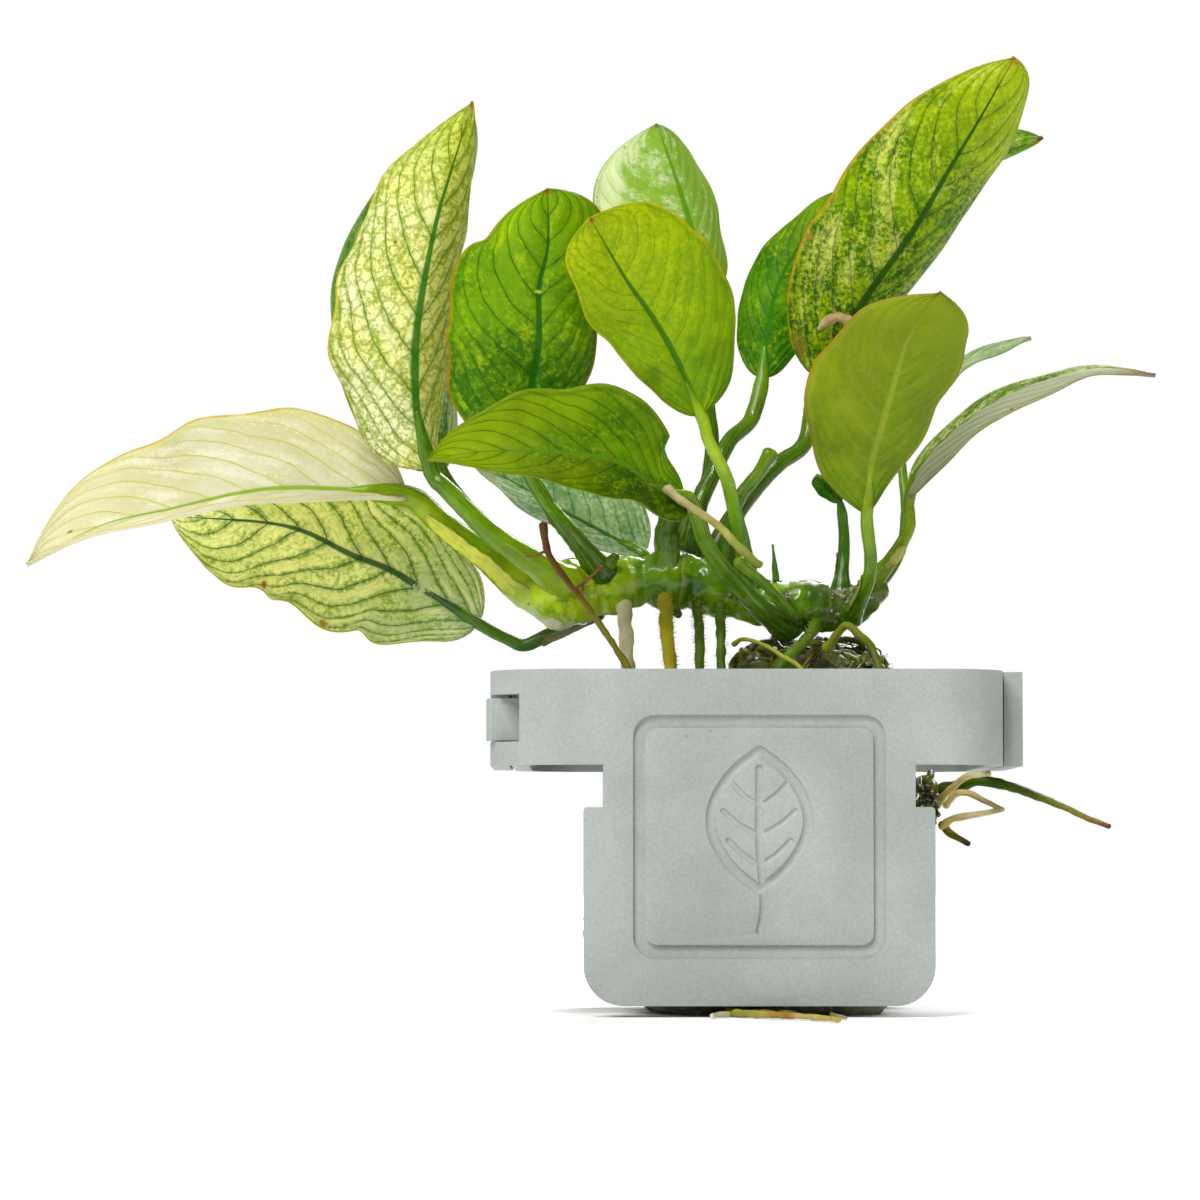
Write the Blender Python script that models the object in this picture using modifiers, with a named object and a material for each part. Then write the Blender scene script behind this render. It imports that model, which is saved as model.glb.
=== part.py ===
"""Anubias on a stone, held in a two-part clip collar.

X runs along the front plate, Y away from the front, Z up. The origin is the middle of
the stone's flat underside. Lengths in the tables are millimetres.
"""
import math

import bmesh
import bpy
from mathutils import Matrix, Vector, noise

MM = 0.001
GAP = 0.3  # clearance between pieces that touch

# Clip collar: two equal halves, the rear one turned half a turn about Z
HALF_DEPTH = 23.0
OUTER_X = 31.1
TONGUE_X = 28.6
WALL = 2.2
TONGUE_WALL = 2.0
OUTER_CORNER = 9.5
TONGUE_CORNER = 8.0
OVERLAP_Y = 13.0
TONGUE_TURN = 34.0  # degrees the tongue follows the other half's corner
COLLAR_LOW = 29.0
COLLAR_TOP = 40.0
WINDOW_LOW = 31.7
WINDOW_TOP = 37.2
WINDOW_INNER_X = 27.6
HOOK_LOW = 31.9
HOOK_TOP = 36.8
HOOK_OUT = 0.5  # how far the catch stands out of the band

# Plate below each half of the collar
PLATE_HALF_WIDTH = 20.2
PLATE_LOW = 1.3
PLATE_TOP = 24.1
PLATE_WALL = 2.0
PLATE_CORNER = 4.6
SHOULDER_CORNER = 0.45
NECK_HALF_WIDTH = 17.95
FRAME_OUTER = (14.5, 6.7, 34.7, 2.5)  # half width, low, top, corner radius
FRAME_INNER = (13.1, 8.3, 33.2, 1.4)
FRAME_DEPTH = 0.45

# Stone between the plates
STONE_HALF = (19.4, 20.4, 15.5)
STONE_CENTRE = (0.4, 0.0, 12.8)
STONE_POWER = 2.7  # above 2 the form is squarer than an ellipsoid

# Leaves
BLADE_THICKNESS = 0.55
BLADE_ROWS = 10
BLADE_COLUMNS = 2  # on each side of the midrib
TIP_HALF_WIDTH = 0.25
ROUND_BASE = 0.5
BASE_POWERS = {"leaf_olive_right": 0.8}  # above ROUND_BASE the blade's base is more wedge-shaped

RHIZOME = [
    ((-24.5, -1.0, 49.5), 3.2),
    ((-18.5, 0.0, 50.5), 3.6),
    ((-12.5, 0.0, 51.5), 3.4),
    ((-6.5, 0.0, 51.0), 3.2),
    ((-0.5, 0.0, 49.0), 3.0),
    ((5.5, 0.0, 48.5), 2.8),
    ((11.0, 0.0, 48.0), 2.6),
    ((15.0, 0.0, 50.5), 1.9),
]

# name: midrib from base to tip, one side and the other side at the widest place,
# where along the leaf each side is widest, and how far the sides arch
LEAVES = {
    "top_left": (
        [
            (-38.5, -5, 64.5), (-40, -6, 71), (-40, -7, 80.5), (-38, -7, 92.5),
            (-36, -6, 100), (-33.5, -4, 108.5),
        ],
        (-10.2, 1.5, 0), (3.6, 7.5, 0.3), (0.40, 0.45), 0.10,
    ),
    "behind_top_left": (
        [
            (-37.5, 4, 65), (-39.5, 5, 73.5), (-41, 6, 83), (-39.5, 6, 94),
            (-36, 6, 102.5), (-33.5, 5, 108),
        ],
        (-10.0, 1, 0), (4.3, 6, 0), (0.40, 0.45), 0.10,
    ),
    "cream_left": (
        [
            (-41.5, 0, 61.5), (-46.5, -1, 62), (-58, -3, 62), (-69.5, -5, 59.5),
            (-77.5, -6, 57.5), (-86, -8, 53),
        ],
        (0, 6.5, 10.2), (0, -8.5, -1.6), (0.38, 0.40), 0.08,
    ),
    "low_left": (
        [
            (-33, 6, 46.5), (-38.5, 6, 50), (-43.5, 6, 53), (-48.5, 6, 55),
            (-56.5, 7, 58.5), (-70.5, 9, 59.8),
        ],
        (1, 3, 8.5), (0, -4, -9.4), (0.42, 0.48), 0.08,
    ),
    "dark_centre": (
        [
            (-27, -5, 65.5), (-26.5, -6, 72.5), (-25.5, -8, 79.5), (-25.5, -9, 85.5),
            (-24.5, -10, 90.5), (-24.5, -12, 97),
        ],
        (-10.9, 1, 0), (7.6, 3, 0), (0.44, 0.68), 0.10,
    ),
    "front_centre": (
        [
            (-6.5, -9, 70.5), (-8, -9.5, 74), (-10, -11, 78), (-12.5, -13, 82),
            (-15.5, -16, 86), (-19.5, -20, 92.5),
        ],
        (-5.4, -1, -2.9), (8.8, 2.5, 4.9), (0.62, 0.58), 0.08,
    ),
    "front_low": (
        [
            (-8.5, -15, 60.5), (-11.5, -17, 61), (-16, -19.5, 64), (-23, -21.5, 65),
            (-31, -23, 65), (-38.5, -24.5, 64),
        ],
        (1, 3.5, 8.5), (1, -5, -4.8), (0.36, 0.32), 0.12,
    ),
    "back_top": (
        [(-6, 8, 85), (-6.5, 7, 91.5), (-8.5, 6, 99), (-11.5, 4, 107)],
        (-11.5, 2, 0), (4, 6, 0), (0.55, 0.45), 0.08,
    ),
    "big_right": (
        [
            (8, 8, 76.5), (13.5, 7, 85.5), (19.5, 5, 94), (24.5, 3, 102.5),
            (27.5, 2, 107.5), (31.5, 0, 114.5),
        ],
        (-9.0, -1, 5.4), (4.0, 7.5, -2.2), (0.42, 0.75), 0.10,
    ),
    "behind_big_right": (
        [(12, 17, 76), (16, 17, 88), (21.5, 16.5, 96.5), (28.5, 14.5, 103.5), (36, 12.5, 106.5)],
        (-4, 3, 2.5), (0.2, 5, -0.2), (0.50, 0.50), 0.08,
    ),
    "olive_right": (
        [
            (13, -12, 58.5), (13.5, -13, 64), (14.5, -15, 68), (16, -17, 73.5),
            (17.5, -19, 78.5), (21, -23, 83.5),
        ],
        (-9.4, 1.5, 1), (6.2, 3, -2.2), (0.46, 0.70), 0.10,
    ),
    "arching_right": (
        [
            (18.5, -2, 61.5), (20.5, -3, 65.5), (24, -4, 69), (29, -5, 72.5),
            (34, -6, 74.5), (40, -6, 76), (47.5, -7, 75.5),
        ],
        (-0.6, 6, 1.0), (1.2, -6, -1.8), (0.36, 0.36), 0.08,
    ),
    "small_back_right": (
        [(18.5, 12, 69), (23, 11, 76), (27, 10, 79), (34, 8, 81.5)],
        (-0.5, 4, 0.8), (0.5, -4, -1.0), (0.45, 0.45), 0.08,
    ),
    "beside_big_right": (
        [(1.5, 12, 77), (2.2, 12.5, 83), (4.2, 13, 90), (10.5, 13, 100)],
        (-4, 3, 0.5), (5, 2, -0.5), (0.42, 0.42), 0.08,
    ),
    "small_dark": (
        [(10.5, 2, 61), (9, 1, 62.5), (7.5, 0, 64)],
        (-0.6, 1.4, -0.8), (0.8, -1.4, 0.8), (0.50, 0.50), 0.05,
    ),
    "pale_back": (
        [(-13, 8, 55), (-18.5, 9, 58), (-23, 10, 60.5), (-28, 11, 63.5), (-34, 12, 67)],
        (2.5, 4, 7), (-1, -4, -2.2), (0.45, 0.45), 0.08,
    ),
}

# name: leaf stalk from the blade down to the rhizome, radius at each end
STALKS = {
    "top_left": (
        [
            (-38, -5, 63.5), (-36.5, -5.5, 62), (-31.5, -5.5, 57), (-26.5, -4, 53.5),
            (-22, -2.5, 50.5),
        ],
        0.9, 1.4,
    ),
    "behind_top_left": ([(-37, 4, 64), (-33, 5, 59), (-28, 6, 54.5), (-22, 3, 51)], 0.85, 1.1),
    "cream_left": (
        [(-40.5, 0, 61.2), (-37.5, 0, 58.5), (-31.5, 0.5, 54), (-27.5, 0.8, 50.8), (-23, 0.5, 49)],
        1.2, 1.9,
    ),
    "low_left": (
        [
            (-32, 6.2, 46), (-30, 7, 45), (-27.5, 7, 44), (-25, 6.5, 45),
            (-22.5, 5, 46), (-19, 2, 48),
        ],
        0.75, 0.8,
    ),
    "dark_centre": (
        [(-27, -5, 64.5), (-26, -5, 62.5), (-24, -5, 59.5), (-21.5, -5, 56.5), (-18, -2, 52)],
        0.85, 1.05,
    ),
    "front_centre": (
        [
            (-6, -9, 69.5), (-5.5, -9, 67.5), (-3.5, -8, 63.5), (-2.5, -6, 60),
            (-1.5, -4, 56), (-0.5, -1, 50),
        ],
        0.7, 0.9,
    ),
    "front_low": (
        [
            (-7.6, -14.6, 59.8), (-6, -12, 55.5), (-4, -10, 52.5), (-1.5, -8, 50),
            (1, -6.5, 47.5), (4, -2, 46),
        ],
        0.85, 1.15,
    ),
    "back_top": (
        [
            (-6, 8, 84), (-5.2, 9.5, 74), (-4.7, 9.4, 68.5), (-5.5, 8.6, 63),
            (-8.5, 6, 57), (-9.5, 2, 52),
        ],
        0.8, 0.95,
    ),
    "big_right": (
        [(7.7, 8, 75.5), (6.5, 5, 68.5), (3, 3, 65.5), (-1, 2, 61), (-3.5, 1.2, 57), (-6, 0.6, 52)],
        0.95, 1.0,
    ),
    "behind_big_right": (
        [
            (11.7, 17, 75), (6.3, 11, 68.5), (2.9, 8, 65.5), (-1, 6, 61), (-2.6, 5, 57),
            (-2.5, 2.5, 51),
        ],
        0.7, 0.9,
    ),
    "olive_right": ([(13, -12, 57.5), (13.5, -11, 53), (13, -9, 50), (11.5, -2, 47)], 0.75, 0.8),
    "arching_right": (
        [(18.5, -2, 60.5), (18.5, -2, 57.5), (16.5, -2, 54), (14, -0.6, 51)],
        0.7, 0.75,
    ),
    "small_back_right": (
        [(18.4, 11.4, 68), (18.8, 9, 60), (17.6, 6, 54.5), (14, 1, 50)],
        0.55, 0.65,
    ),
    "beside_big_right": (
        [
            (1.4, 11.6, 76), (0, 10, 71.5), (-2.5, 8, 69), (-4.5, 6, 65),
            (-6.5, 4.4, 60.5), (-8, 1, 53),
        ],
        0.95, 1.05,
    ),
    "small_dark": ([(10.7, 2, 60), (11, 2, 56), (10.5, 1, 50)], 0.6, 0.75),
    "pale_back": ([(-12.6, 7.4, 54.6), (-12, 5.5, 53.5), (-11.5, 2, 52)], 0.85, 0.95),
}

# name: centre line, radius at the start and at the end, kept clear of the rhizome
STEMS = {
    "stalk_arched": (
        [(-10.3, -1.5, 51.5), (-10.3, -2.2, 54.5), (-10.3, -3, 57.5), (-9, -4, 60.5)],
        1.7, 1.3,
    ),
    "stalk_cut": (
        [(2, -1, 66.5), (0.5, -1, 64), (-1.5, -1, 61.5), (-3, -1.2, 57.5), (-3.2, -1, 51)],
        0.75, 0.85,
    ),
    "stalk_slim": ([(-2, -11, 53), (1.5, -10, 50), (4.2, -8.2, 47), (4.8, -5.2, 46.4)], 0.6, 0.6),
    "root_white": (
        [(-15.5, -1, 50), (-15.2, -4.2, 44), (-15, -5, 41), (-14.5, -5.5, 35), (-14, -6, 30)],
        0.85, 0.75,
    ),
    "root_yellow": (
        [(-10.5, -1, 51), (-10.4, -5.5, 45.5), (-10, -7, 41), (-10, -8, 35), (-9.5, -9, 30.5)],
        0.85, 0.7,
    ),
    "root_green": (
        [(-7, -1, 50.5), (-6.6, -5.5, 45.5), (-6.5, -7, 41), (-6.3, -8, 36), (-6, -9, 31)],
        0.6, 0.55,
    ),
    "root_green_short": (
        [(-4, -1, 50), (-4, -5.5, 45), (-4, -7, 41), (-3.8, -8, 36), (-3.5, -9, 31)],
        0.6, 0.5,
    ),
    "root_brown": (
        [
            (-25, -9, 57.5), (-24.5, -9, 54.5), (-23, -9, 52), (-19.5, -9, 47.5),
            (-17.5, -10, 44.5), (-15, -11, 40.5), (-13.5, -12, 36), (-13, -13, 31),
        ],
        0.35, 0.45,
    ),
    "root_cream": (
        [
            (-10.5, -18, 61), (-8, -17.4, 59.2), (-6, -16.2, 58), (-4, -15.2, 56.5),
            (-2, -14, 54.5), (0.3, -12.6, 52.6),
        ],
        0.45, 0.5,
    ),
    "root_thin_yellow": (
        [
            (-2.5, -8, 43.5), (-1.5, -9, 44), (0.5, -10, 43.5), (3, -11, 42),
            (5.5, -12, 40), (7, -13, 35),
        ],
        0.25, 0.25,
    ),
    "root_hooked": (
        [
            (8.5, -8, 43), (10.5, -10, 45.5), (12, -11, 44.5), (13.5, -11, 43),
            (14.5, -12, 40), (15, -12, 35),
        ],
        0.5, 0.4,
    ),
    "root_side_green": (
        [(8, -1, 47), (6, -6, 44), (4, -8, 42), (2.5, -9, 40), (1.5, -10, 34)],
        0.7, 0.55,
    ),
}

# Roots that leave the stone at the plates' right edge
SIDE_ROOTS = {
    "root_side_cream": (
        [(21.8, -2, 24.6), (22.8, -4, 26), (24, -6, 27.2), (25.2, -7.4, 28), (27.5, -8, 28.2)],
        0.36, 0.34,
    ),
    "root_side_long": (
        [
            (22.6, 1, 26.6), (25, -1, 27), (27, -3, 27.5), (31, -5, 26.5),
            (36, -7, 24.5), (39, -8, 23), (41.5, -9, 22),
        ],
        0.6, 0.3,
    ),
    "root_side_arc": (
        [(23, -0.4, 24.6), (24, -2, 25.9), (25.4, -3, 26), (27, -4, 25.2), (29, -5, 24.2)],
        0.34, 0.28,
    ),
    "root_side_low": ([(22, -6.5, 22), (23.5, -7, 23), (26.5, -8, 23.5), (29, -9, 24)], 0.36, 0.3),
    "root_side_claw": ([(22.2, -4, 22.2), (23.5, -5, 21), (25.2, -6, 20)], 0.42, 0.3),
}

# Roots that come out under the front plate and lie along the surface
FLOOR_ROOTS = {
    "root_floor_main": (
        [
            (-3.5, -18.9, 2.2), (-3.4, -19.5, 0.9), (-3.3, -20.6, 0.52),
            (-3, -22, 0.52), (-1.5, -25, 0.53), (0.5, -29, 0.52), (2.6, -32, 0.5),
            (5, -36, 0.46), (7, -41, 0.42), (8, -45.5, 0.38),
        ],
        0.5, 0.32,
    ),
    "root_floor_white": ([(-3.7, -24.6, 0.4), (-5.4, -27, 0.4), (-5.6, -29.5, 0.36)], 0.34, 0.28),
    "root_floor_olive_left": (
        [
            (-0.6, -18.9, 2.2), (-0.5, -19.5, 0.9), (-0.4, -20.6, 0.52), (0, -22, 0.52),
            (1, -24.5, 0.55), (2, -26.3, 0.5),
        ],
        0.5, 0.4,
    ),
    "root_floor_olive_right": (
        [
            (2, -18.9, 2.2), (2, -19.5, 0.9), (2.1, -20.6, 0.52), (2.4, -22, 0.52),
            (3.2, -24, 0.5), (4.2, -25.6, 0.45),
        ],
        0.5, 0.4,
    ),
    "root_floor_taupe": (
        [
            (8.2, -19, 2), (8.2, -19.7, 0.7), (8.2, -20.6, 0.34), (8.3, -22, 0.34),
            (8.6, -27, 0.33), (9.4, -33.5, 0.3),
        ],
        0.3, 0.22,
    ),
}

CLUMP_CENTRE = (7.0, 3.4, 38.4)
CLUMP_HALF = (9.5, 6.2, 5.6)


def clear_scene():
    for old in list(bpy.data.objects):
        bpy.data.objects.remove(old, do_unlink=True)


def new_collection(name):
    made = bpy.data.collections.new(name)
    bpy.context.scene.collection.children.link(made)
    return made


def material(name, colour, roughness):
    made = bpy.data.materials.new(name)
    made.use_nodes = True
    shader = made.node_tree.nodes["Principled BSDF"]
    shader.inputs["Base Color"].default_value = (*colour, 1.0)
    shader.inputs["Roughness"].default_value = roughness
    shader.inputs["Metallic"].default_value = 0.0
    return made


def add_object(name, mesh, collection, surface):
    made = bpy.data.objects.new(name, mesh)
    collection.objects.link(made)
    if surface:
        mesh.materials.clear()
        mesh.materials.append(surface)
    return made


def catmull(points, steps):
    """Points of a smooth line through the given ones, steps for each stretch."""
    ends = [points[0] * 2 - points[1], *points, points[-1] * 2 - points[-2]]
    line = []
    for a, b, c, d in zip(ends, ends[1:], ends[2:], ends[3:]):
        for step in range(steps):
            t = step / steps
            bend = 2 * a - 5 * b + 4 * c - d
            twist = 3 * b - a - 3 * c + d
            line.append(0.5 * (2 * b + (c - a) * t + bend * t**2 + twist * t**3))
    return line + [points[-1]]


def even_line(points, count):
    """The smooth line through points, as count + 1 points at even spacing."""
    fine = catmull([Vector(p) for p in points], 12)
    lengths = [0.0]
    for a, b in zip(fine, fine[1:]):
        lengths.append(lengths[-1] + (b - a).length)
    line = []
    for index in range(count + 1):
        wanted = lengths[-1] * index / count
        place = next((i for i, length in enumerate(lengths) if length >= wanted), len(fine) - 1)
        if place == 0:
            line.append(fine[0].copy())
            continue
        share = (wanted - lengths[place - 1]) / (lengths[place] - lengths[place - 1])
        line.append(fine[place - 1].lerp(fine[place], share))
    return line


def arc(centre, radius, first, last, steps=6):
    """Points on a circle from one angle to the other, in degrees."""
    points = []
    for step in range(steps + 1):
        angle = math.radians(first + (last - first) * step / steps)
        points.append((centre[0] + radius * math.cos(angle), centre[1] + radius * math.sin(angle)))
    return points


def rounded_box(half_width, low, top, radius):
    corners = [
        (half_width - radius, low + radius, -90),
        (half_width - radius, top - radius, 0),
        (radius - half_width, top - radius, 90),
        (radius - half_width, low + radius, 180),
    ]
    points = []
    for x, z, start in corners:
        points += arc((x, z), radius, start, start + 90, 4)
    return points


def mesh_from_curve(curve, name):
    """The closed mesh of a filled or bevelled curve, its caps welded on."""
    holder = bpy.data.objects.new(name, curve)
    bpy.context.scene.collection.objects.link(holder)
    seen = holder.evaluated_get(bpy.context.evaluated_depsgraph_get())
    mesh = bpy.data.meshes.new_from_object(seen)
    bpy.data.objects.remove(holder)
    body = bmesh.new()
    body.from_mesh(mesh)
    bmesh.ops.remove_doubles(body, verts=body.verts, dist=1e-6)
    bmesh.ops.recalc_face_normals(body, faces=body.faces)
    body.to_mesh(mesh)
    body.free()
    mesh.name = name
    return mesh


def flat_solid(name, outline, thickness, place, collection, surface):
    """A flat outline in millimetres, made thick about its own plane."""
    curve = bpy.data.curves.new(name, "CURVE")
    curve.dimensions = "2D"
    curve.fill_mode = "BOTH"
    curve.extrude = thickness / 2 * MM
    spline = curve.splines.new("POLY")
    spline.points.add(len(outline) - 1)
    for point, (x, y) in zip(spline.points, outline):
        point.co = (x * MM, y * MM, 0, 1)
    spline.use_cyclic_u = True
    made = add_object(name, mesh_from_curve(curve, name), collection, surface)
    made.matrix_world = place
    return made


def upright(y):
    """Turns a flat outline's second axis up and sets it at y millimetres."""
    return Matrix.Translation((0, y * MM, 0)) @ Matrix.Rotation(math.pi / 2, 4, "X")


def level(z):
    return Matrix.Translation((0, 0, z * MM))


def combine(target, other, how):
    step = target.modifiers.new(other.name, "BOOLEAN")
    step.operation = how
    step.solver = "EXACT"
    step.object = other
    other.hide_render = True
    other.display_type = "WIRE"


def band_outline():
    """Half the collar in plan: outer end at -X, front, then the tongue at +X."""
    left = (OUTER_CORNER - OUTER_X, OUTER_CORNER - HALF_DEPTH)
    right = (TONGUE_X - TONGUE_CORNER, TONGUE_CORNER - HALF_DEPTH)
    far = (OUTER_X - OUTER_CORNER, HALF_DEPTH - OUTER_CORNER)
    reach = OUTER_CORNER - WALL - GAP
    outer = [(-OUTER_X, OVERLAP_Y)]
    outer += arc(left, OUTER_CORNER, 180, 270)
    outer += arc(right, TONGUE_CORNER, 270, 360)
    outer += arc(far, reach, 0, TONGUE_TURN, 4)
    inner = [(WALL - OUTER_X, OVERLAP_Y)]
    inner += arc(left, OUTER_CORNER - WALL, 180, 270)
    inner += arc(right, TONGUE_CORNER - TONGUE_WALL, 270, 360)
    inner += arc(far, reach - TONGUE_WALL, 0, TONGUE_TURN, 4)
    return outer + inner[::-1]


def hook_outline():
    """The catch on the tongue: a ramp that rises to a square shoulder."""
    far = (OUTER_X - OUTER_CORNER, HALF_DEPTH - OUTER_CORNER)
    root = OUTER_CORNER - WALL - GAP - 0.8
    top = OUTER_CORNER + HOOK_OUT
    low = arc(far, root, 6, 30, 3)
    high = arc(far, top, 6, 22, 2)
    return high + low[::-1]


def plate_outline():
    low = arc((PLATE_CORNER - PLATE_HALF_WIDTH, PLATE_LOW + PLATE_CORNER), PLATE_CORNER, 180, 270)
    low += arc((PLATE_HALF_WIDTH - PLATE_CORNER, PLATE_LOW + PLATE_CORNER), PLATE_CORNER, 270, 360)
    edge = PLATE_HALF_WIDTH - SHOULDER_CORNER
    right = arc((edge, PLATE_TOP - SHOULDER_CORNER), SHOULDER_CORNER, 0, 90, 2)
    left = arc((-edge, PLATE_TOP - SHOULDER_CORNER), SHOULDER_CORNER, 90, 180, 2)
    neck_top = COLLAR_LOW + 1.0
    neck = [
        (NECK_HALF_WIDTH, PLATE_TOP),
        (NECK_HALF_WIDTH, neck_top),
        (-NECK_HALF_WIDTH, neck_top),
        (-NECK_HALF_WIDTH, PLATE_TOP),
    ]
    return low + right + neck + left


def make_shells(parts, cutters, plastic):
    band_height = COLLAR_TOP - COLLAR_LOW
    band_middle = (COLLAR_TOP + COLLAR_LOW) / 2
    band = flat_solid("front_shell", band_outline(), band_height, level(band_middle), parts, plastic)
    plate_y = PLATE_WALL / 2 - HALF_DEPTH
    plate = flat_solid("plate_form", plate_outline(), PLATE_WALL, upright(plate_y), cutters, None)
    hook_middle = (HOOK_LOW + HOOK_TOP) / 2
    hook = flat_solid("hook_form", hook_outline(), HOOK_TOP - HOOK_LOW, level(hook_middle), cutters, None)
    window_low = (-OUTER_X - 3, -HALF_DEPTH)
    window_high = (-WINDOW_INNER_X, OUTER_CORNER - HALF_DEPTH + 1.5)
    window_outline = [
        window_low,
        (window_high[0], window_low[1]),
        window_high,
        (window_low[0], window_high[1]),
    ]
    window_middle = (WINDOW_LOW + WINDOW_TOP) / 2
    window = flat_solid(
        "window_form", window_outline, WINDOW_TOP - WINDOW_LOW, level(window_middle), cutters, None
    )
    frame = flat_solid(
        "frame_form", rounded_box(*FRAME_OUTER), FRAME_DEPTH * 2, upright(-HALF_DEPTH), cutters, None
    )
    core = flat_solid(
        "frame_core", rounded_box(*FRAME_INNER), FRAME_DEPTH * 4, upright(-HALF_DEPTH), cutters, None
    )
    combine(frame, core, "DIFFERENCE")
    combine(band, plate, "UNION")
    combine(band, hook, "UNION")
    combine(band, window, "DIFFERENCE")
    combine(band, frame, "DIFFERENCE")
    seen = band.evaluated_get(bpy.context.evaluated_depsgraph_get())
    whole = bpy.data.meshes.new_from_object(seen)
    band.modifiers.clear()
    band.data = whole
    band.matrix_world = band.matrix_world.copy()
    rear = add_object("rear_shell", whole, parts, None)
    rear.matrix_world = Matrix.Rotation(math.pi, 4, "Z") @ band.matrix_world


def lumpy_solid(name, centre, half, power, detail, roughness, parts, surface):
    """A rounded block with an uneven surface, in millimetres."""
    body = bmesh.new()
    bmesh.ops.create_icosphere(body, subdivisions=detail, radius=1.0)
    for vert in body.verts:
        way = vert.co.normalized()
        size = sum(abs(part) ** power for part in way) ** (-1 / power)
        size *= 1 + roughness * noise.noise(way * 1.7 + Vector(centre))
        vert.co = Vector([c + h * w * size for c, h, w in zip(centre, half, way)]) * MM
    mesh = bpy.data.meshes.new(name)
    body.to_mesh(mesh)
    body.free()
    return add_object(name, mesh, parts, surface)


def make_stone(parts, surface):
    """The stone, kept clear of both plates and cut flat at the floor."""
    stone = lumpy_solid("stone", STONE_CENTRE, STONE_HALF, STONE_POWER, 3, 0.12, parts, surface)
    body = bmesh.new()
    body.from_mesh(stone.data)
    limit = (HALF_DEPTH - PLATE_WALL - GAP) * MM
    for vert in body.verts:
        vert.co.y = max(-limit, min(limit, vert.co.y))
    whole = body.verts[:] + body.edges[:] + body.faces[:]
    bmesh.ops.bisect_plane(body, geom=whole, plane_co=(0, 0, 0), plane_no=(0, 0, 1), clear_inner=True)
    rim = [edge for edge in body.edges if edge.is_boundary]
    bmesh.ops.contextual_create(body, geom=rim)
    bmesh.ops.triangulate(body, faces=body.faces)
    bmesh.ops.recalc_face_normals(body, faces=body.faces)
    body.to_mesh(stone.data)
    body.free()


def round_stem(name, line, radii, sides, parts, surface):
    """A stem along line, its radius given at each point, with closed ends."""
    curve = bpy.data.curves.new(name, "CURVE")
    curve.dimensions = "3D"
    curve.bevel_depth = MM
    curve.bevel_resolution = sides
    curve.use_fill_caps = True
    spline = curve.splines.new("POLY")
    spline.points.add(len(line) - 1)
    for point, place, radius in zip(spline.points, line, radii):
        point.co = (*(place * MM), 1)
        point.radius = radius
    return add_object(name, mesh_from_curve(curve, name), parts, surface)


def rhizome_gap(place, stem_radius):
    """How far a stem's end at this place is from the rhizome's skin."""
    best = None
    for (a, radius_a), (b, radius_b) in zip(RHIZOME, RHIZOME[1:]):
        start = Vector(a)
        run = Vector(b) - start
        share = max(0.0, min(1.0, (place - start).dot(run) / run.length_squared))
        radius = radius_a + (radius_b - radius_a) * share
        gap = (place - start - run * share).length - radius - 0.8 * stem_radius
        best = gap if best is None else min(best, gap)
    return best


def clear_line(points, count, stem_radius):
    """The smooth line through points without what would enter the rhizome."""
    fine = even_line(points, 80)
    kept = [place for place in fine if rhizome_gap(place, stem_radius) > GAP]
    return even_line(kept[:: max(1, len(kept) // 12)] + [kept[-1]], count)


def tapered(first, last, count):
    return [first + (last - first) * index / count for index in range(count + 1)]


def make_stem(name, points, first, last, parts, surface, count=7, sides=1):
    line = clear_line(points, count, max(first, last))
    round_stem(name, line, tapered(first, last, count), sides, parts, surface)


def blade_width(along, widest, base_power):
    """Share of the full width at a place from 0, the base, to 1, the tip."""
    tip_power = base_power * (1 - widest) / widest
    inside = min(max(along, 0.0), 1.0)
    return (inside / widest) ** base_power * ((1 - inside) / (1 - widest)) ** tip_power


def side_direction(side, tangent):
    """The side direction turned square to the midrib, its length kept."""
    across = side - tangent * side.dot(tangent)
    return across.normalized() * side.length


def make_blade(name, midrib, side_a, side_b, widest, arch, parts, surface):
    line = even_line(midrib, BLADE_ROWS)
    base_power = BASE_POWERS.get(name, ROUND_BASE)
    body = bmesh.new()
    rows = []
    for index, place in enumerate(line):
        before = line[max(index - 1, 0)]
        after = line[min(index + 1, BLADE_ROWS)]
        tangent = (after - before).normalized()
        row = []
        for column in range(-BLADE_COLUMNS, BLADE_COLUMNS + 1):
            out = abs(column) / BLADE_COLUMNS
            side = side_direction(Vector(side_a if column < 0 else side_b), tangent)
            width = blade_width(index / BLADE_ROWS, widest[column > 0], base_power)
            half = max(width * side.length, TIP_HALF_WIDTH)
            way = side.normalized()
            facing = tangent.cross(way) * (1 if column < 0 else -1)
            rise = arch * half * 4 * out * (1 - out)
            row.append(body.verts.new((place + way * half * out + facing * rise) * MM))
        rows.append(row)
    for row, following in zip(rows, rows[1:]):
        for column in range(2 * BLADE_COLUMNS):
            body.faces.new((row[column], row[column + 1], following[column + 1], following[column]))
    mesh = bpy.data.meshes.new(name)
    body.to_mesh(mesh)
    body.free()
    blade = add_object(name, mesh, parts, surface)
    thick = blade.modifiers.new("thickness", "SOLIDIFY")
    thick.thickness = BLADE_THICKNESS * MM
    thick.offset = 0.0
    return blade


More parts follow.
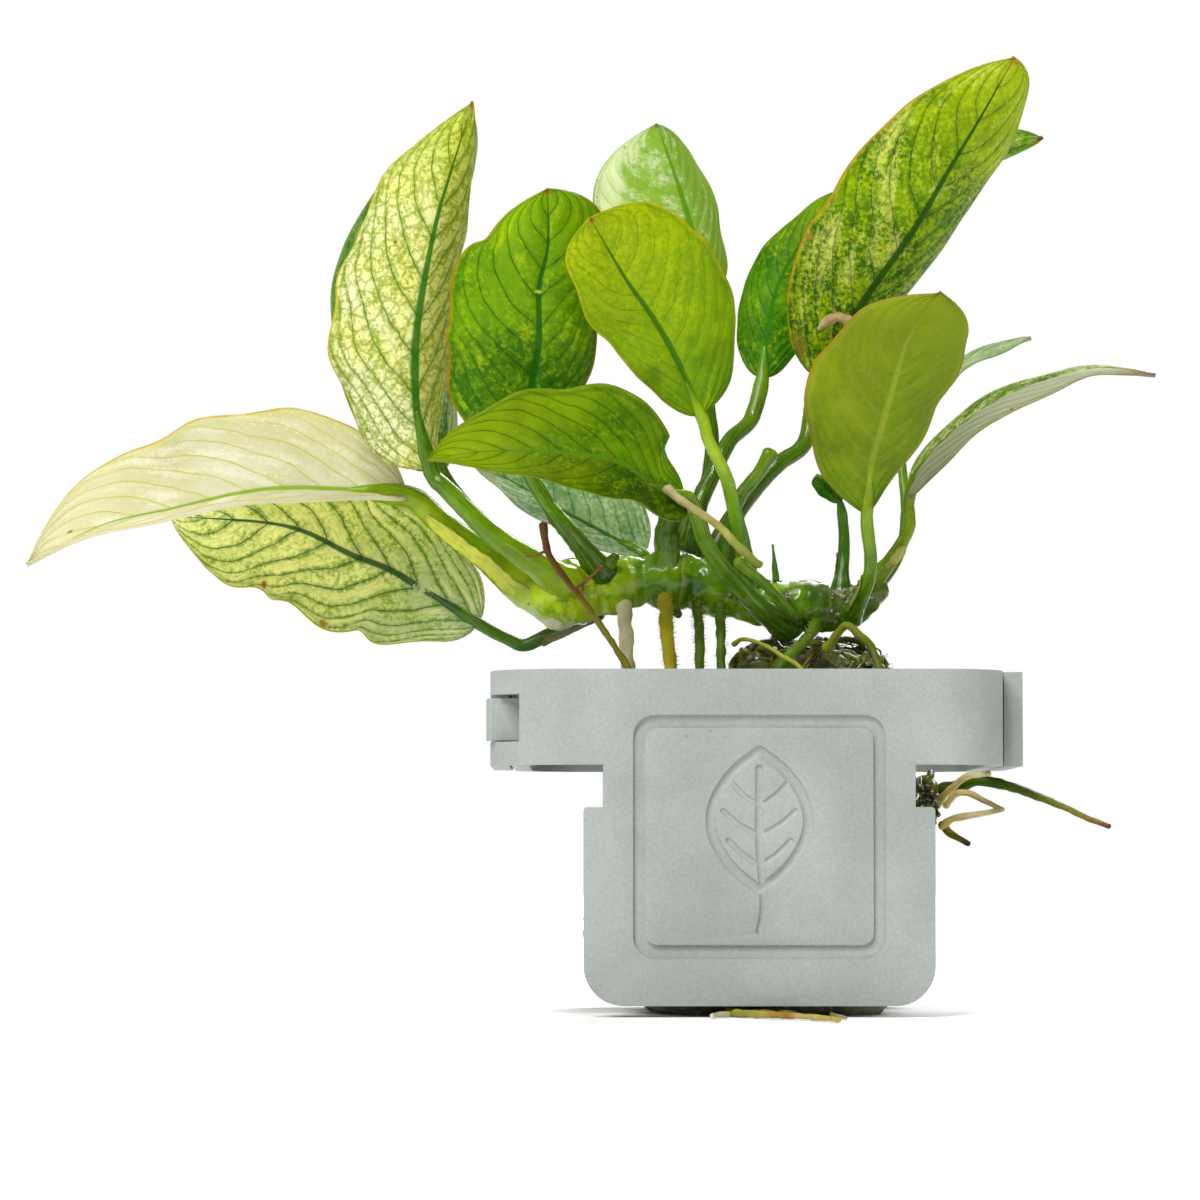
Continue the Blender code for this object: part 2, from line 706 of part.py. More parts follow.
def make_plant(parts, surfaces):
    line = [Vector(place) for place, _ in RHIZOME]
    radii = [radius for _, radius in RHIZOME]
    round_stem("rhizome", line, radii, 3, parts, surfaces["rhizome"])
    for name, (midrib, side_a, side_b, widest, arch) in LEAVES.items():
        make_blade("leaf_" + name, midrib, side_a, side_b, widest, arch, parts, surfaces["leaf"])
    for name, (points, first, last) in STALKS.items():
        make_stem("stalk_" + name, points, first, last, parts, surfaces["stalk"])
    for name, (points, first, last) in STEMS.items():
        surface = surfaces["root" if name.startswith("root") else "stalk"]
        make_stem(name, points, first, last, parts, surface)
    for name, (points, first, last) in {**SIDE_ROOTS, **FLOOR_ROOTS}.items():
        make_stem(name, points, first, last, parts, surfaces["root"], count=12)
    lumpy_solid("root_clump", CLUMP_CENTRE, CLUMP_HALF, 2.2, 2, 0.3, parts, surfaces["clump"])


def main():
    clear_scene()
    parts = new_collection("anubias_on_stone")
    cutters = new_collection("cutters")
    plastic = material("holder_plastic", (0.51, 0.56, 0.51), 0.6)
    surfaces = {
        "leaf": material("leaf", (0.23, 0.38, 0.04), 0.35),
        "stalk": material("stalk", (0.2, 0.4, 0.03), 0.35),
        "rhizome": material("rhizome", (0.12, 0.26, 0.02), 0.3),
        "root": material("root", (0.55, 0.5, 0.18), 0.5),
        "clump": material("root_clump", (0.06, 0.07, 0.02), 0.4),
    }
    make_shells(parts, cutters, plastic)
    make_stone(parts, material("stone", (0.28, 0.26, 0.22), 0.8))
    make_plant(parts, surfaces)


main()
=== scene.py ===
"""The looks of the anubias on stone: a variegated plant rooted on a stone in a clip collar.

Lengths in the tables are millimetres, in the frame of the CAD model.
"""
import math
import random

import bmesh
import bpy
from mathutils import Matrix, Vector, noise


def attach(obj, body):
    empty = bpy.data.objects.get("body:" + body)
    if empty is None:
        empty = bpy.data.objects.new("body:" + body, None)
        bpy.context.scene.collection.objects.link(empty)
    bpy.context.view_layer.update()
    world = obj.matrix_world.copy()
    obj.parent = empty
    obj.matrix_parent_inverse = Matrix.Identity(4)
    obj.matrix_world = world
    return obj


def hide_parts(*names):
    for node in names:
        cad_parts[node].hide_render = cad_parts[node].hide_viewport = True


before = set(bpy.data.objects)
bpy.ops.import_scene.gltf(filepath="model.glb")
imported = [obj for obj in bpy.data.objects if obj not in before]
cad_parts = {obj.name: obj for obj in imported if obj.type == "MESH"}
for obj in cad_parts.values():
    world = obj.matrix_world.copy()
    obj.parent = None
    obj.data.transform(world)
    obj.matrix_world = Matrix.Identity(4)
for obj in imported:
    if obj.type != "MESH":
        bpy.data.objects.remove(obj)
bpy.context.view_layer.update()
random.seed(11)

MM = 0.001

# Clip collar: two equal halves, the rear one turned half a turn about Z
HALF_DEPTH = 23.0
OUTER_X = 31.1
TONGUE_X = 28.6
WALL = 2.2
TONGUE_WALL = 2.0
OUTER_CORNER = 9.5
TONGUE_CORNER = 8.0
OVERLAP_Y = 13.0
TONGUE_TURN = 34.0  # degrees the tongue follows the other half's corner
COLLAR_LOW = 29.0
COLLAR_TOP = 40.0
WINDOW_LOW = 31.7
WINDOW_TOP = 37.2
WINDOW_INNER_X = 27.6
HOOK_LOW = 31.9
HOOK_TOP = 36.8
HOOK_OUT = 0.5  # how far the catch stands out of the band
HOOK_ROOT = 0.8
FAR_CORNER = (OUTER_X - OUTER_CORNER, HALF_DEPTH - OUTER_CORNER)
EDGE_ROUND = 0.22

# Plate below each half of the collar
PLATE_HALF_WIDTH = 20.2
PLATE_LOW = 1.3
PLATE_TOP = 24.1
PLATE_WALL = 2.0
PLATE_CORNER = 4.6
SHOULDER_CORNER = 0.45
NECK_HALF_WIDTH = 17.95
FRAME_OUTER = (14.5, 6.7, 34.7, 2.5)  # half width, low, top, corner radius
FRAME_INNER = (13.1, 8.3, 33.2, 1.4)
FRAME_DEPTH = 0.45

# Stone between the plates
STONE_HALF = (19.4, 20.4, 15.5)
STONE_CENTRE = (0.4, 0.0, 12.8)
STONE_POWER = 2.7  # above 2 the form is squarer than an ellipsoid

# place and radius along the creeping stem
RHIZOME = (
    ((-24.5, -1.0, 49.5), 3.2), ((-18.5, 0.0, 50.5), 3.6), ((-12.5, 0.0, 51.5), 3.4), ((-6.5, 0.0, 51.0),
    3.2), ((-0.5, 0.0, 49.0), 3.0), ((5.5, 0.0, 48.5), 2.8), ((11.0, 0.0, 48.0), 2.6),
    ((15.0, 0.0, 50.5), 1.9),
)

# name: midrib from base to tip, one side and the other side at the widest place,
# where along the leaf each side is widest, and how far the sides arch
LEAVES = {
    "top_left": (((-38.5, -5, 64.5), (-40, -6, 71), (-40, -7, 80.5), (-38, -7, 92.5), (-36, -6, 100),
        (-33.5, -4, 108.5)), (-10.2, 1.5, 0), (3.6, 7.5, 0.3), (0.4, 0.45), 0.1),
    "behind_top_left": (((-37.5, 4, 65), (-39.5, 5, 73.5), (-41, 6, 83), (-39.5, 6, 94), (-36, 6, 102.5),
        (-33.5, 5, 108)), (-10.0, 1, 0), (4.3, 6, 0), (0.4, 0.45), 0.1),
    "cream_left": (((-41.5, 0, 61.5), (-46.5, -1, 62), (-58, -3, 62), (-69.5, -5, 59.5),
        (-77.5, -6, 57.5), (-86, -8, 53)), (0, 6.5, 10.2), (0, -8.5, -1.6), (0.38, 0.4), 0.08),
    "low_left": (((-33, 6, 46.5), (-38.5, 6, 50), (-43.5, 6, 53), (-48.5, 6, 55), (-56.5, 7, 58.5),
        (-70.5, 9, 59.8)), (1, 3, 8.5), (0, -4, -9.4), (0.42, 0.48), 0.08),
    "dark_centre": (((-27, -5, 65.5), (-26.5, -6, 72.5), (-25.5, -8, 79.5), (-25.5, -9, 85.5),
        (-24.5, -10, 90.5), (-24.5, -12, 97)), (-10.9, 1, 0), (7.6, 3, 0), (0.44, 0.68), 0.1),
    "front_centre": (((-6.5, -9, 70.5), (-8, -9.5, 74), (-10, -11, 78), (-12.5, -13, 82),
        (-15.5, -16, 86), (-19.5, -20, 92.5)), (-5.4, -1, -2.9), (8.8, 2.5, 4.9), (0.62, 0.58), 0.08),
    "front_low": (((-8.5, -15, 60.5), (-11.5, -17, 61), (-16, -19.5, 64), (-23, -21.5, 65),
        (-31, -23, 65), (-38.5, -24.5, 64)), (1, 3.5, 8.5), (1, -5, -4.8), (0.36, 0.32), 0.12),
    "back_top": (((-6, 8, 85), (-6.5, 7, 91.5), (-8.5, 6, 99), (-11.5, 4, 107)), (-11.5, 2, 0), (4, 6, 0),
        (0.55, 0.45), 0.08),
    "big_right": (((8, 8, 76.5), (13.5, 7, 85.5), (19.5, 5, 94), (24.5, 3, 102.5), (27.5, 2, 107.5),
        (31.5, 0, 114.5)), (-9.0, -1, 5.4), (4.0, 7.5, -2.2), (0.42, 0.75), 0.1),
    "behind_big_right": (((12, 17, 76), (16, 17, 88), (21.5, 16.5, 96.5), (28.5, 14.5, 103.5),
        (36, 12.5, 106.5)), (-4, 3, 2.5), (0.2, 5, -0.2), (0.5, 0.5), 0.08),
    "olive_right": (((13, -12, 58.5), (13.5, -13, 64), (14.5, -15, 68), (16, -17, 73.5),
        (17.5, -19, 78.5), (21, -23, 83.5)), (-9.4, 1.5, 1), (6.2, 3, -2.2), (0.46, 0.7), 0.1),
    "arching_right": (((18.5, -2, 61.5), (20.5, -3, 65.5), (24, -4, 69), (29, -5, 72.5), (34, -6, 74.5),
        (40, -6, 76), (47.5, -7, 75.5)), (-0.6, 6, 1.0), (1.2, -6, -1.8), (0.36, 0.36), 0.08),
    "small_back_right": (((18.5, 12, 69), (23, 11, 76), (27, 10, 79), (34, 8, 81.5)), (-0.5, 4, 0.8),
        (0.5, -4, -1.0), (0.45, 0.45), 0.08),
    "beside_big_right": (((1.5, 12, 77), (2.2, 12.5, 83), (4.2, 13, 90), (10.5, 13, 100)), (-4, 3, 0.5),
        (5, 2, -0.5), (0.42, 0.42), 0.08),
    "small_dark": (((10.5, 2, 61), (9, 1, 62.5), (7.5, 0, 64)), (-0.6, 1.4, -0.8), (0.8, -1.4, 0.8),
        (0.5, 0.5), 0.05),
    "pale_back": (((-13, 8, 55), (-18.5, 9, 58), (-23, 10, 60.5), (-28, 11, 63.5), (-34, 12, 67)),
        (2.5, 4, 7), (-1, -4, -2.2), (0.45, 0.45), 0.08),
}

# name: leaf stalk from the blade down to the rhizome, radius at each end
STALKS = {
    "top_left": (((-38, -5, 63.5), (-36.5, -5.5, 62), (-31.5, -5.5, 57), (-26.5, -4, 53.5),
        (-22, -2.5, 50.5)), 0.9, 1.4),
    "behind_top_left": (((-37, 4, 64), (-33, 5, 59), (-28, 6, 54.5), (-22, 3, 51)), 0.85, 1.1),
    "cream_left": (((-40.5, 0, 61.2), (-37.5, 0, 58.5), (-31.5, 0.5, 54), (-27.5, 0.8, 50.8),
        (-23, 0.5, 49)), 1.2, 1.9),
    "low_left": (((-32, 6.2, 46), (-30, 7, 45), (-27.5, 7, 44), (-25, 6.5, 45), (-22.5, 5, 46),
        (-19, 2, 48)), 0.75, 0.8),
    "dark_centre": (((-27, -5, 64.5), (-26, -5, 62.5), (-24, -5, 59.5), (-21.5, -5, 56.5), (-18, -2, 52)),
        0.85, 1.05),
    "front_centre": (((-6, -9, 69.5), (-5.5, -9, 67.5), (-3.5, -8, 63.5), (-2.5, -6, 60), (-1.5, -4, 56),
        (-0.5, -1, 50)), 0.7, 0.9),
    "front_low": (((-7.6, -14.6, 59.8), (-6, -12, 55.5), (-4, -10, 52.5), (-1.5, -8, 50), (1, -6.5, 47.5),
        (4, -2, 46)), 0.85, 1.15),
    "back_top": (((-6, 8, 84), (-5.2, 9.5, 74), (-4.7, 9.4, 68.5), (-5.5, 8.6, 63), (-8.5, 6, 57),
        (-9.5, 2, 52)), 0.8, 0.95),
    "big_right": (((7.7, 8, 75.5), (6.5, 5, 68.5), (3, 3, 65.5), (-1, 2, 61), (-3.5, 1.2, 57),
        (-6, 0.6, 52)), 0.95, 1.0),
    "behind_big_right": (((11.7, 17, 75), (6.3, 11, 68.5), (2.9, 8, 65.5), (-1, 6, 61), (-2.6, 5, 57),
        (-2.5, 2.5, 51)), 0.7, 0.9),
    "olive_right": (((13, -12, 57.5), (13.5, -11, 53), (13, -9, 50), (11.5, -2, 47)), 0.75, 0.8),
    "arching_right": (((18.5, -2, 60.5), (18.5, -2, 57.5), (16.5, -2, 54), (14, -0.6, 51)), 0.7, 0.75),
    "small_back_right": (((18.4, 11.4, 68), (18.8, 9, 60), (17.6, 6, 54.5), (14, 1, 50)), 0.55, 0.65),
    "beside_big_right": (((1.4, 11.6, 76), (0, 10, 71.5), (-2.5, 8, 69), (-4.5, 6, 65), (-6.5, 4.4, 60.5),
        (-8, 1, 53)), 0.95, 1.05),
    "small_dark": (((10.7, 2, 60), (11, 2, 56), (10.5, 1, 50)), 0.6, 0.75),
    "pale_back": (((-12.6, 7.4, 54.6), (-12, 5.5, 53.5), (-11.5, 2, 52)), 0.85, 0.95),
}

# name: centre line, radius at the start and at the end
STEMS = {
    "stalk_arched": (((-10.3, -1.5, 51.5), (-10.3, -2.2, 54.5), (-10.3, -3, 57.5), (-9, -4, 60.5)), 1.7,
        1.3),
    "stalk_cut": (((2, -1, 66.5), (0.5, -1, 64), (-1.5, -1, 61.5), (-3, -1.2, 57.5), (-3.2, -1, 51)),
        0.75, 0.85),
    "stalk_slim": (((-2, -11, 53), (1.5, -10, 50), (4.2, -8.2, 47), (4.8, -5.2, 46.4)), 0.6, 0.6),
    "root_white": (((-15.5, -1, 50), (-15.2, -4.2, 44), (-15, -5, 41), (-14.5, -5.5, 35), (-14, -6, 30)),
        0.85, 0.75),
    "root_yellow": (((-10.5, -1, 51), (-10.4, -5.5, 45.5), (-10, -7, 41), (-10, -8, 35),
        (-9.5, -9, 30.5)), 0.85, 0.7),
    "root_green": (((-7, -1, 50.5), (-6.6, -5.5, 45.5), (-6.5, -7, 41), (-6.3, -8, 36), (-6, -9, 31)),
        0.6, 0.55),
    "root_green_short": (((-4, -1, 50), (-4, -5.5, 45), (-4, -7, 41), (-3.8, -8, 36), (-3.5, -9, 31)),
        0.6, 0.5),
    "root_brown": (((-25, -9, 57.5), (-24.5, -9, 54.5), (-23, -9, 52), (-19.5, -9, 47.5),
        (-17.5, -10, 44.5), (-15, -11, 40.5), (-13.5, -12, 36), (-13, -13, 31)), 0.35, 0.45),
    "root_cream": (((-10.5, -18, 61), (-8, -17.4, 59.2), (-6, -16.2, 58), (-4, -15.2, 56.5),
        (-2, -14, 54.5), (0.3, -12.6, 52.6)), 0.45, 0.5),
    "root_thin_yellow": (((-2.5, -8, 43.5), (-1.5, -9, 44), (0.5, -10, 43.5), (3, -11, 42),
        (5.5, -12, 40), (7, -13, 35)), 0.25, 0.25),
    "root_hooked": (((8.5, -8, 43), (10.5, -10, 45.5), (12, -11, 44.5), (13.5, -11, 43), (14.5, -12, 40),
        (15, -12, 35)), 0.5, 0.4),
    "root_side_green": (((8, -1, 47), (6, -6, 44), (4, -8, 42), (2.5, -9, 40), (1.5, -10, 34)), 0.7,
        0.55),
}

# Roots that leave the stone at the plates' right edge
SIDE_ROOTS = {
    "root_side_cream": (((21.8, -2, 24.6), (22.8, -4, 26), (24, -6, 27.2), (25.2, -7.4, 28),
        (27.5, -8, 28.2)), 0.36, 0.34),
    "root_side_long": (((22.6, 1, 26.6), (25, -1, 27), (27, -3, 27.5), (31, -5, 26.5), (36, -7, 24.5),
        (39, -8, 23), (41.5, -9, 22)), 0.6, 0.3),
    "root_side_arc": (((23, -0.4, 24.6), (24, -2, 25.9), (25.4, -3, 26), (27, -4, 25.2), (29, -5, 24.2)),
        0.34, 0.28),
    "root_side_low": (((22, -6.5, 22), (23.5, -7, 23), (26.5, -8, 23.5), (29, -9, 24)), 0.36, 0.3),
    "root_side_claw": (((22.2, -4, 22.2), (23.5, -5, 21), (25.2, -6, 20)), 0.42, 0.3),
}

# Roots that come out under the front plate and lie along the surface
FLOOR_ROOTS = {
    "root_floor_main": (((-3.5, -18.9, 2.2), (-3.4, -19.5, 0.9), (-3.3, -20.6, 0.52), (-3, -22, 0.52),
        (-1.5, -25, 0.53), (0.5, -29, 0.52), (2.6, -32, 0.5), (5, -36, 0.46), (7, -41, 0.42),
        (8, -45.5, 0.38)), 0.5, 0.32),
    "root_floor_white": (((-3.7, -24.6, 0.4), (-5.4, -27, 0.4), (-5.6, -29.5, 0.36)), 0.34, 0.28),
    "root_floor_olive_left": (((-0.6, -18.9, 2.2), (-0.5, -19.5, 0.9), (-0.4, -20.6, 0.52),
        (0, -22, 0.52), (1, -24.5, 0.55), (2, -26.3, 0.5)), 0.5, 0.4),
    "root_floor_olive_right": (((2, -18.9, 2.2), (2, -19.5, 0.9), (2.1, -20.6, 0.52), (2.4, -22, 0.52),
        (3.2, -24, 0.5), (4.2, -25.6, 0.45)), 0.5, 0.4),
    "root_floor_taupe": (((8.2, -19, 2), (8.2, -19.7, 0.7), (8.2, -20.6, 0.34), (8.3, -22, 0.34),
        (8.6, -27, 0.33), (9.4, -33.5, 0.3)), 0.3, 0.22),
}

# Wet clump of fine roots, and the tuft of roots at the right notch
CLUMP_CENTRE = (7.0, 3.4, 38.4)
CLUMP_HALF = (9.5, 6.2, 5.6)
CLUMP_POWER = 2.2
CLUMP_LUMP = 0.3
WINDING_ROOTS = 150
ANCHOR_ROOTS = 80  # run from the clump down to the stone
TUFT_CENTRE = Vector((19.2, -3.0, 25.6))
TUFT_HALF = Vector((2.2, 8.0, 2.2))
TUFT_ROOTS = 70
RHIZOME_CRUMBS = 240
CLUMP_CRUMBS = 260
MOSS_FIBRES = 2600
HAIRY_ROOTS = {"root_yellow": 520, "root_green": 420, "root_green_short": 160, "root_side_green": 160}

# place along the rhizome, angle round it, length and radius of each bud
BUDS = (
    (0.16, 0.6, 3.4, 1.5), (0.34, 2.2, 3.6, 1.4), (0.52, 5.2, 3.0, 1.2), (0.66, 1.2, 3.2, 1.1),
    (0.8, 4.1, 2.8, 1.0),
)
RINGS = 7.0  # leaf scars along the rhizome

# name: stalk that it wraps, start and end along it, half angle and direction in radians, colours
SHEATHS = {
    "sheath_arching": ("arching_right", 0.45, 0.75, 0.8, 0.6, "b4b43c", "7c7c28"),
    "sheath_small_dark": ("small_dark", 0.5, 0.95, 1.2, 3.6, "968c78", "544a3c"),
    "sheath_cream": ("cream_left", 0.12, 0.85, 0.5, 1.6, "d0d43c", "94ac14"),
    "sheath_low": ("low_left", 0.45, 0.85, 1.1, 2.2, "78823c", "545a32"),
    "sheath_olive": ("olive_right", 0.4, 0.98, 1.0, 3.2, "aab03c", "6e6e28"),
    "sheath_dark_centre": ("dark_centre", 0.3, 0.98, 0.9, 4.0, "709228", "5a6e1e"),
}
SHEATH_THICKNESS = 0.09
SHEATH_COLUMNS = 13

# name: centre line, radius at the start and at the end
TWIGS = {
    "twig_left": ([(-24.4, -9, 54.6), (-25.6, -9.4, 54.0), (-26.9, -9.6, 53.8)], 0.2, 0.12),
    "twig_right": ([(-21.3, -9, 49.9), (-20, -9.8, 50.8), (-18.2, -10.4, 52.4)], 0.24, 0.16),
    "bud_spike": ([(2.6, -1.5, 51.5), (2.5, -1.6, 53.5), (2.3, -1.8, 55.6)], 0.45, 0.08),
    "twig_fork": ([(-20.2, -9.7, 50.7), (-20.4, -10.1, 49.6), (-20.5, -10.3, 48.9)], 0.18, 0.12),
}
STUB = ((7.8, 7.1, 82.2), (8.8, 6.2, 82.9), (10.2, 5.7, 83.6), (11.4, 5.9, 83.4), (12.1, 6.6, 82.8))

# How finely things are drawn
GAP = 0.3  # clearance between pieces that would touch
TIP_HALF_WIDTH = 0.12
BLADE_ROWS = 96
HALF_COLUMNS = 26
FINE_STEPS = 800
SPLINE_STEPS = 24
STALK_STEPS = 60
STEM_STEPS = 44
ROOT_STEPS = 48
RHIZOME_STEPS = 150
FIBRE_STEPS = 18
GROOVE_STEPS = 26
END_ROUND = 0.8  # how far a tube's rounded end stands out, in radii
VEINS = 10  # main side veins on each half of a blade
QUILT = 0.07  # how far a blade stands out between its side veins

# Light and colours
NOISE_SPREAD = 0.3  # how far a noise texture's values spread about their middle
PALE_YELLOW = "fffcb0"
MARK_BROWN = "785016"
COAT_ROUGHNESS = 0.1
WORLD_LIGHT = 0.27  # how bright the white surroundings are for all but the camera
CAMERA_PLACE = (-18.3, -610.0, 16.8)  # level with the plates and well back, tilted up a little
CAMERA_AIM = (-18.3, -23.0, 47.9)
CAMERA_LENS = 153.3

# what a leaf's look is where its own entry says nothing
LOOK = dict(
    seed=0.0, top=1, wave=0.25, ruffle=0.08, broad=130.0, tip=None, tip_start=0.45, base=None,
    other_side=None, mottle_share=0.4, mottle_strength=0.6, near_veins=0.0, patch_share=0.1,
    patch_strength=0.8, patch_side=0.0, veins=0.7, fine=0.1, point="b4641e", point_size=0.2,
    under_share=0.6, gloss=0.32, glow=0.5, glow_tint=PALE_YELLOW, fineness=1700.0, soft=0.16,
    side_over=0.0, side_start=-0.15, point_start=0.965, network=0.0, base_power=0.5, spots=(),
)

# name: the colours named here, then what differs from LOOK
COLOUR_NAMES = ("dark", "light", "mottle", "patch", "vein", "rib", "margin", "under")
LEAF_LOOKS = {
    "top_left": ("fcfaa4 fffee0 a0b000 fffde8 5a8c00 2c7c00 d8c414 e8ecb4", dict(mottle_share=0.3,
        mottle_strength=0.7, near_veins=0.06, network=0.75, patch_share=0.14, veins=0.95, fineness=2300.0,
        soft=0.12, tip="dce458", tip_start=0.55, seed=0.4, wave=0.3, fine=0.35, point="d07818",
        spots=((-0.45, 0.58, 0.006, "604010"),), ruffle=0.14, other_side="f4f08c")),
    "behind_top_left": ("3c8240 6c9c48 b8cc70 e4ecc4 2c6430 2c6426 8ca046 a8be96", dict(mottle_share=0.35,
        patch_share=0.4, patch_side=0.12, seed=1.7)),
    "cream_left": ("d2cfa6 dcdabe d8d8a0 f2f0e2 ccd048 8cb408 d4bc34 e6e4d0", dict(mottle_share=0.2,
        mottle_strength=0.4, patch_share=0.35, patch_strength=0.6, fine=0.04, glow_tint="fffce0",
        fineness=1900.0, seed=2.3, top=-1, wave=0.35, point="70881a", glow=0.36, ruffle=0.12,
        tip="dfddb4", spots=((-0.25, 0.86, 0.012, "a07020"), (0.4, 0.5, 0.006, "a07828")))),
    "low_left": ("eaecac f8f8d0 6c981c f8f6dc 2c603c 2c5444 b8b43c e4e8a0", dict(mottle_share=0.32,
        mottle_strength=0.8, near_veins=0.06, network=0.25, patch_share=0.3, veins=0.9, fine=0.3,
        base="bccabc", glow_tint="fffed0", seed=3.1, top=-1, wave=0.35, ruffle=0.22, glow=0.64,
        broad=90.0, spots=((0.9, 0.66, 0.02, "9c6c24"), (0.93, 0.42, 0.014, "a87c2c"),
        (-0.1, 0.2, 0.05, "c8d4cc")))),
    "dark_centre": ("407800 70a000 9cc400 c4d810 1c5c00 1e6a00 c48a18 80a848", dict(mottle_share=0.36,
        mottle_strength=0.65, patch_share=0.16, patch_strength=0.7, base="2a6800", tip="90bc00",
        tip_start=0.4, seed=4.2, glow=0.42, spots=((0.0, 0.62, 0.012, "c8d838"),))),
    "front_centre": ("98c000 bcd800 7ca800 c8d410 5c9004 3c7c04 d4b01c 8ca43c", dict(mottle_share=0.5,
        mottle_strength=0.65, patch_share=0.18, patch_strength=0.6, veins=0.22, base="4c8400",
        tip="c4d000", tip_start=0.25, seed=5.5, gloss=0.4, glow=0.42, point="b0501c",
        spots=((-0.35, 0.3, 0.012, "d8b43c"), (-0.3, 0.27, 0.008, "c89428")))),
    "front_low": ("3c6c00 6c9400 8cac00 94b008 264c00 5c8610 80921c 78923c", dict(mottle_share=0.34,
        mottle_strength=0.55, patch_share=0.12, patch_strength=0.5, veins=0.65, tip="98b404",
        tip_start=0.2, seed=6.1, top=-1, glow=0.3, gloss=0.24, other_side="2c5000", side_start=-0.25,
        point="a0a020")),
    "back_top": ("dce8cc eef4e4 a4c848 f4f8ea 8cb054 6ca800 a0b83c ccdabc", dict(mottle_share=0.25,
        mottle_strength=0.3, patch_share=0.25, veins=0.3, seed=7.7, other_side="98c400", side_start=-0.75,
        patch_side=-0.04, point="70a010")),
    "big_right": ("347000 6c9c00 c4d800 f4f08c 1c5000 1c5800 d09c1c d4deb8", dict(mottle_share=0.46,
        mottle_strength=0.8, patch_share=0.09, patch_side=-0.05, fineness=1900.0, soft=0.2, veins=0.6,
        base="2c6000", tip="b4c800", tip_start=0.5, seed=8.3, near_veins=-0.04, ruffle=0.12,
        spots=((-0.75, 0.05, 0.05, "8c8428"), (-0.95, 0.3, 0.015, "b8902c")), point="c08c20")),
    "behind_big_right": ("4a8c08 7cac18 b4c840 e8ecb0 2c6402 2c6402 a86c1c c8d4b4", dict(patch_share=0.2,
        point="a8180e", seed=9.9)),
    "olive_right": ("748800 8c9c08 8ca008 94a438 a4b044 94a82c c08c14 94a45c", dict(mottle_share=0.5,
        mottle_strength=0.35, patch_share=0.2, patch_strength=0.3, veins=0.5, fine=0.3, tip="8ca004",
        seed=10.4, gloss=0.4, glow=0.36, other_side="6c8c00", wave=0.4, base="5c8404", base_power=0.8,
        point="90901c")),
    "arching_right": ("4c7c18 84a030 c0cc60 e8ecb8 345c1c 3e701c a88c2c b0b89c", dict(mottle_share=0.45,
        patch_share=0.3, under_share=0.8, seed=11.2, other_side="bcc0ac", side_over=0.9, point="8c5408",
        point_size=1.6, point_start=0.86)),
    "small_back_right": ("8cac84 aec29c c8d4b0 dce4c4 5e8c5e 4c8450 6c9464 ccd4be", dict(patch_share=0.3,
        point="466e5a", seed=12.5)),
    "beside_big_right": ("3c8000 6ca800 a4c800 dce020 1c6402 3a8c04 90b010 8ca848",
        dict(mottle_share=0.32, patch_share=0.16, patch_strength=0.7, veins=0.6, seed=13.8, tip="a4c400",
        point="90902c")),
    "small_dark": ("2c6c08 5c9c18 74a41c 90b018 1c5c06 1c5c06 a8cc7c 3a7a10", dict(seed=14.2)),
    "pale_back": ("84b47c b0d0a0 d8e8cc eef4e8 3c7c44 3c8418 a4c02c b4c4b0", dict(mottle_share=0.45,
        patch_share=0.36, seed=15.6, top=-1, gloss=0.25)),
}

# colours along each stalk, after the colour of the midrib it grows into
STALK_GREENS = [(0.14, "6c9400"), (0.4, "4c7800"), (1.0, "386000")]
STALK_LOOKS = {
    "cream_left": [(0.14, "7c9c00"), (0.3, "94b000"), (0.6, "749c00"), (0.85, "a0bc18"), (1.0, "dcdcb4")],
    "top_left": [(0.14, "447400"), (0.5, "608c00"), (1.0, "8cac08")],
    "low_left": [(0.14, "3c6c14"), (0.5, "3c6c00"), (1.0, "2c5400")],
    "olive_right": [(0.14, "7c9804"), (0.4, "5c8800"), (1.0, "3c6c00")],
    "front_centre": [(0.14, "8cb00c"), (0.35, "a8c824"), (0.65, "649c00"), (1.0, "2c6400")],
    "front_low": [(0.14, "6c9400"), (0.5, "5c8800"), (1.0, "346000")],
    "arching_right": [(0.14, "648804"), (0.5, "7c980c"), (1.0, "588000")],
    "small_dark": [(0.14, "2c6408"), (0.5, "346c0a"), (1.0, "305c0c")],
}

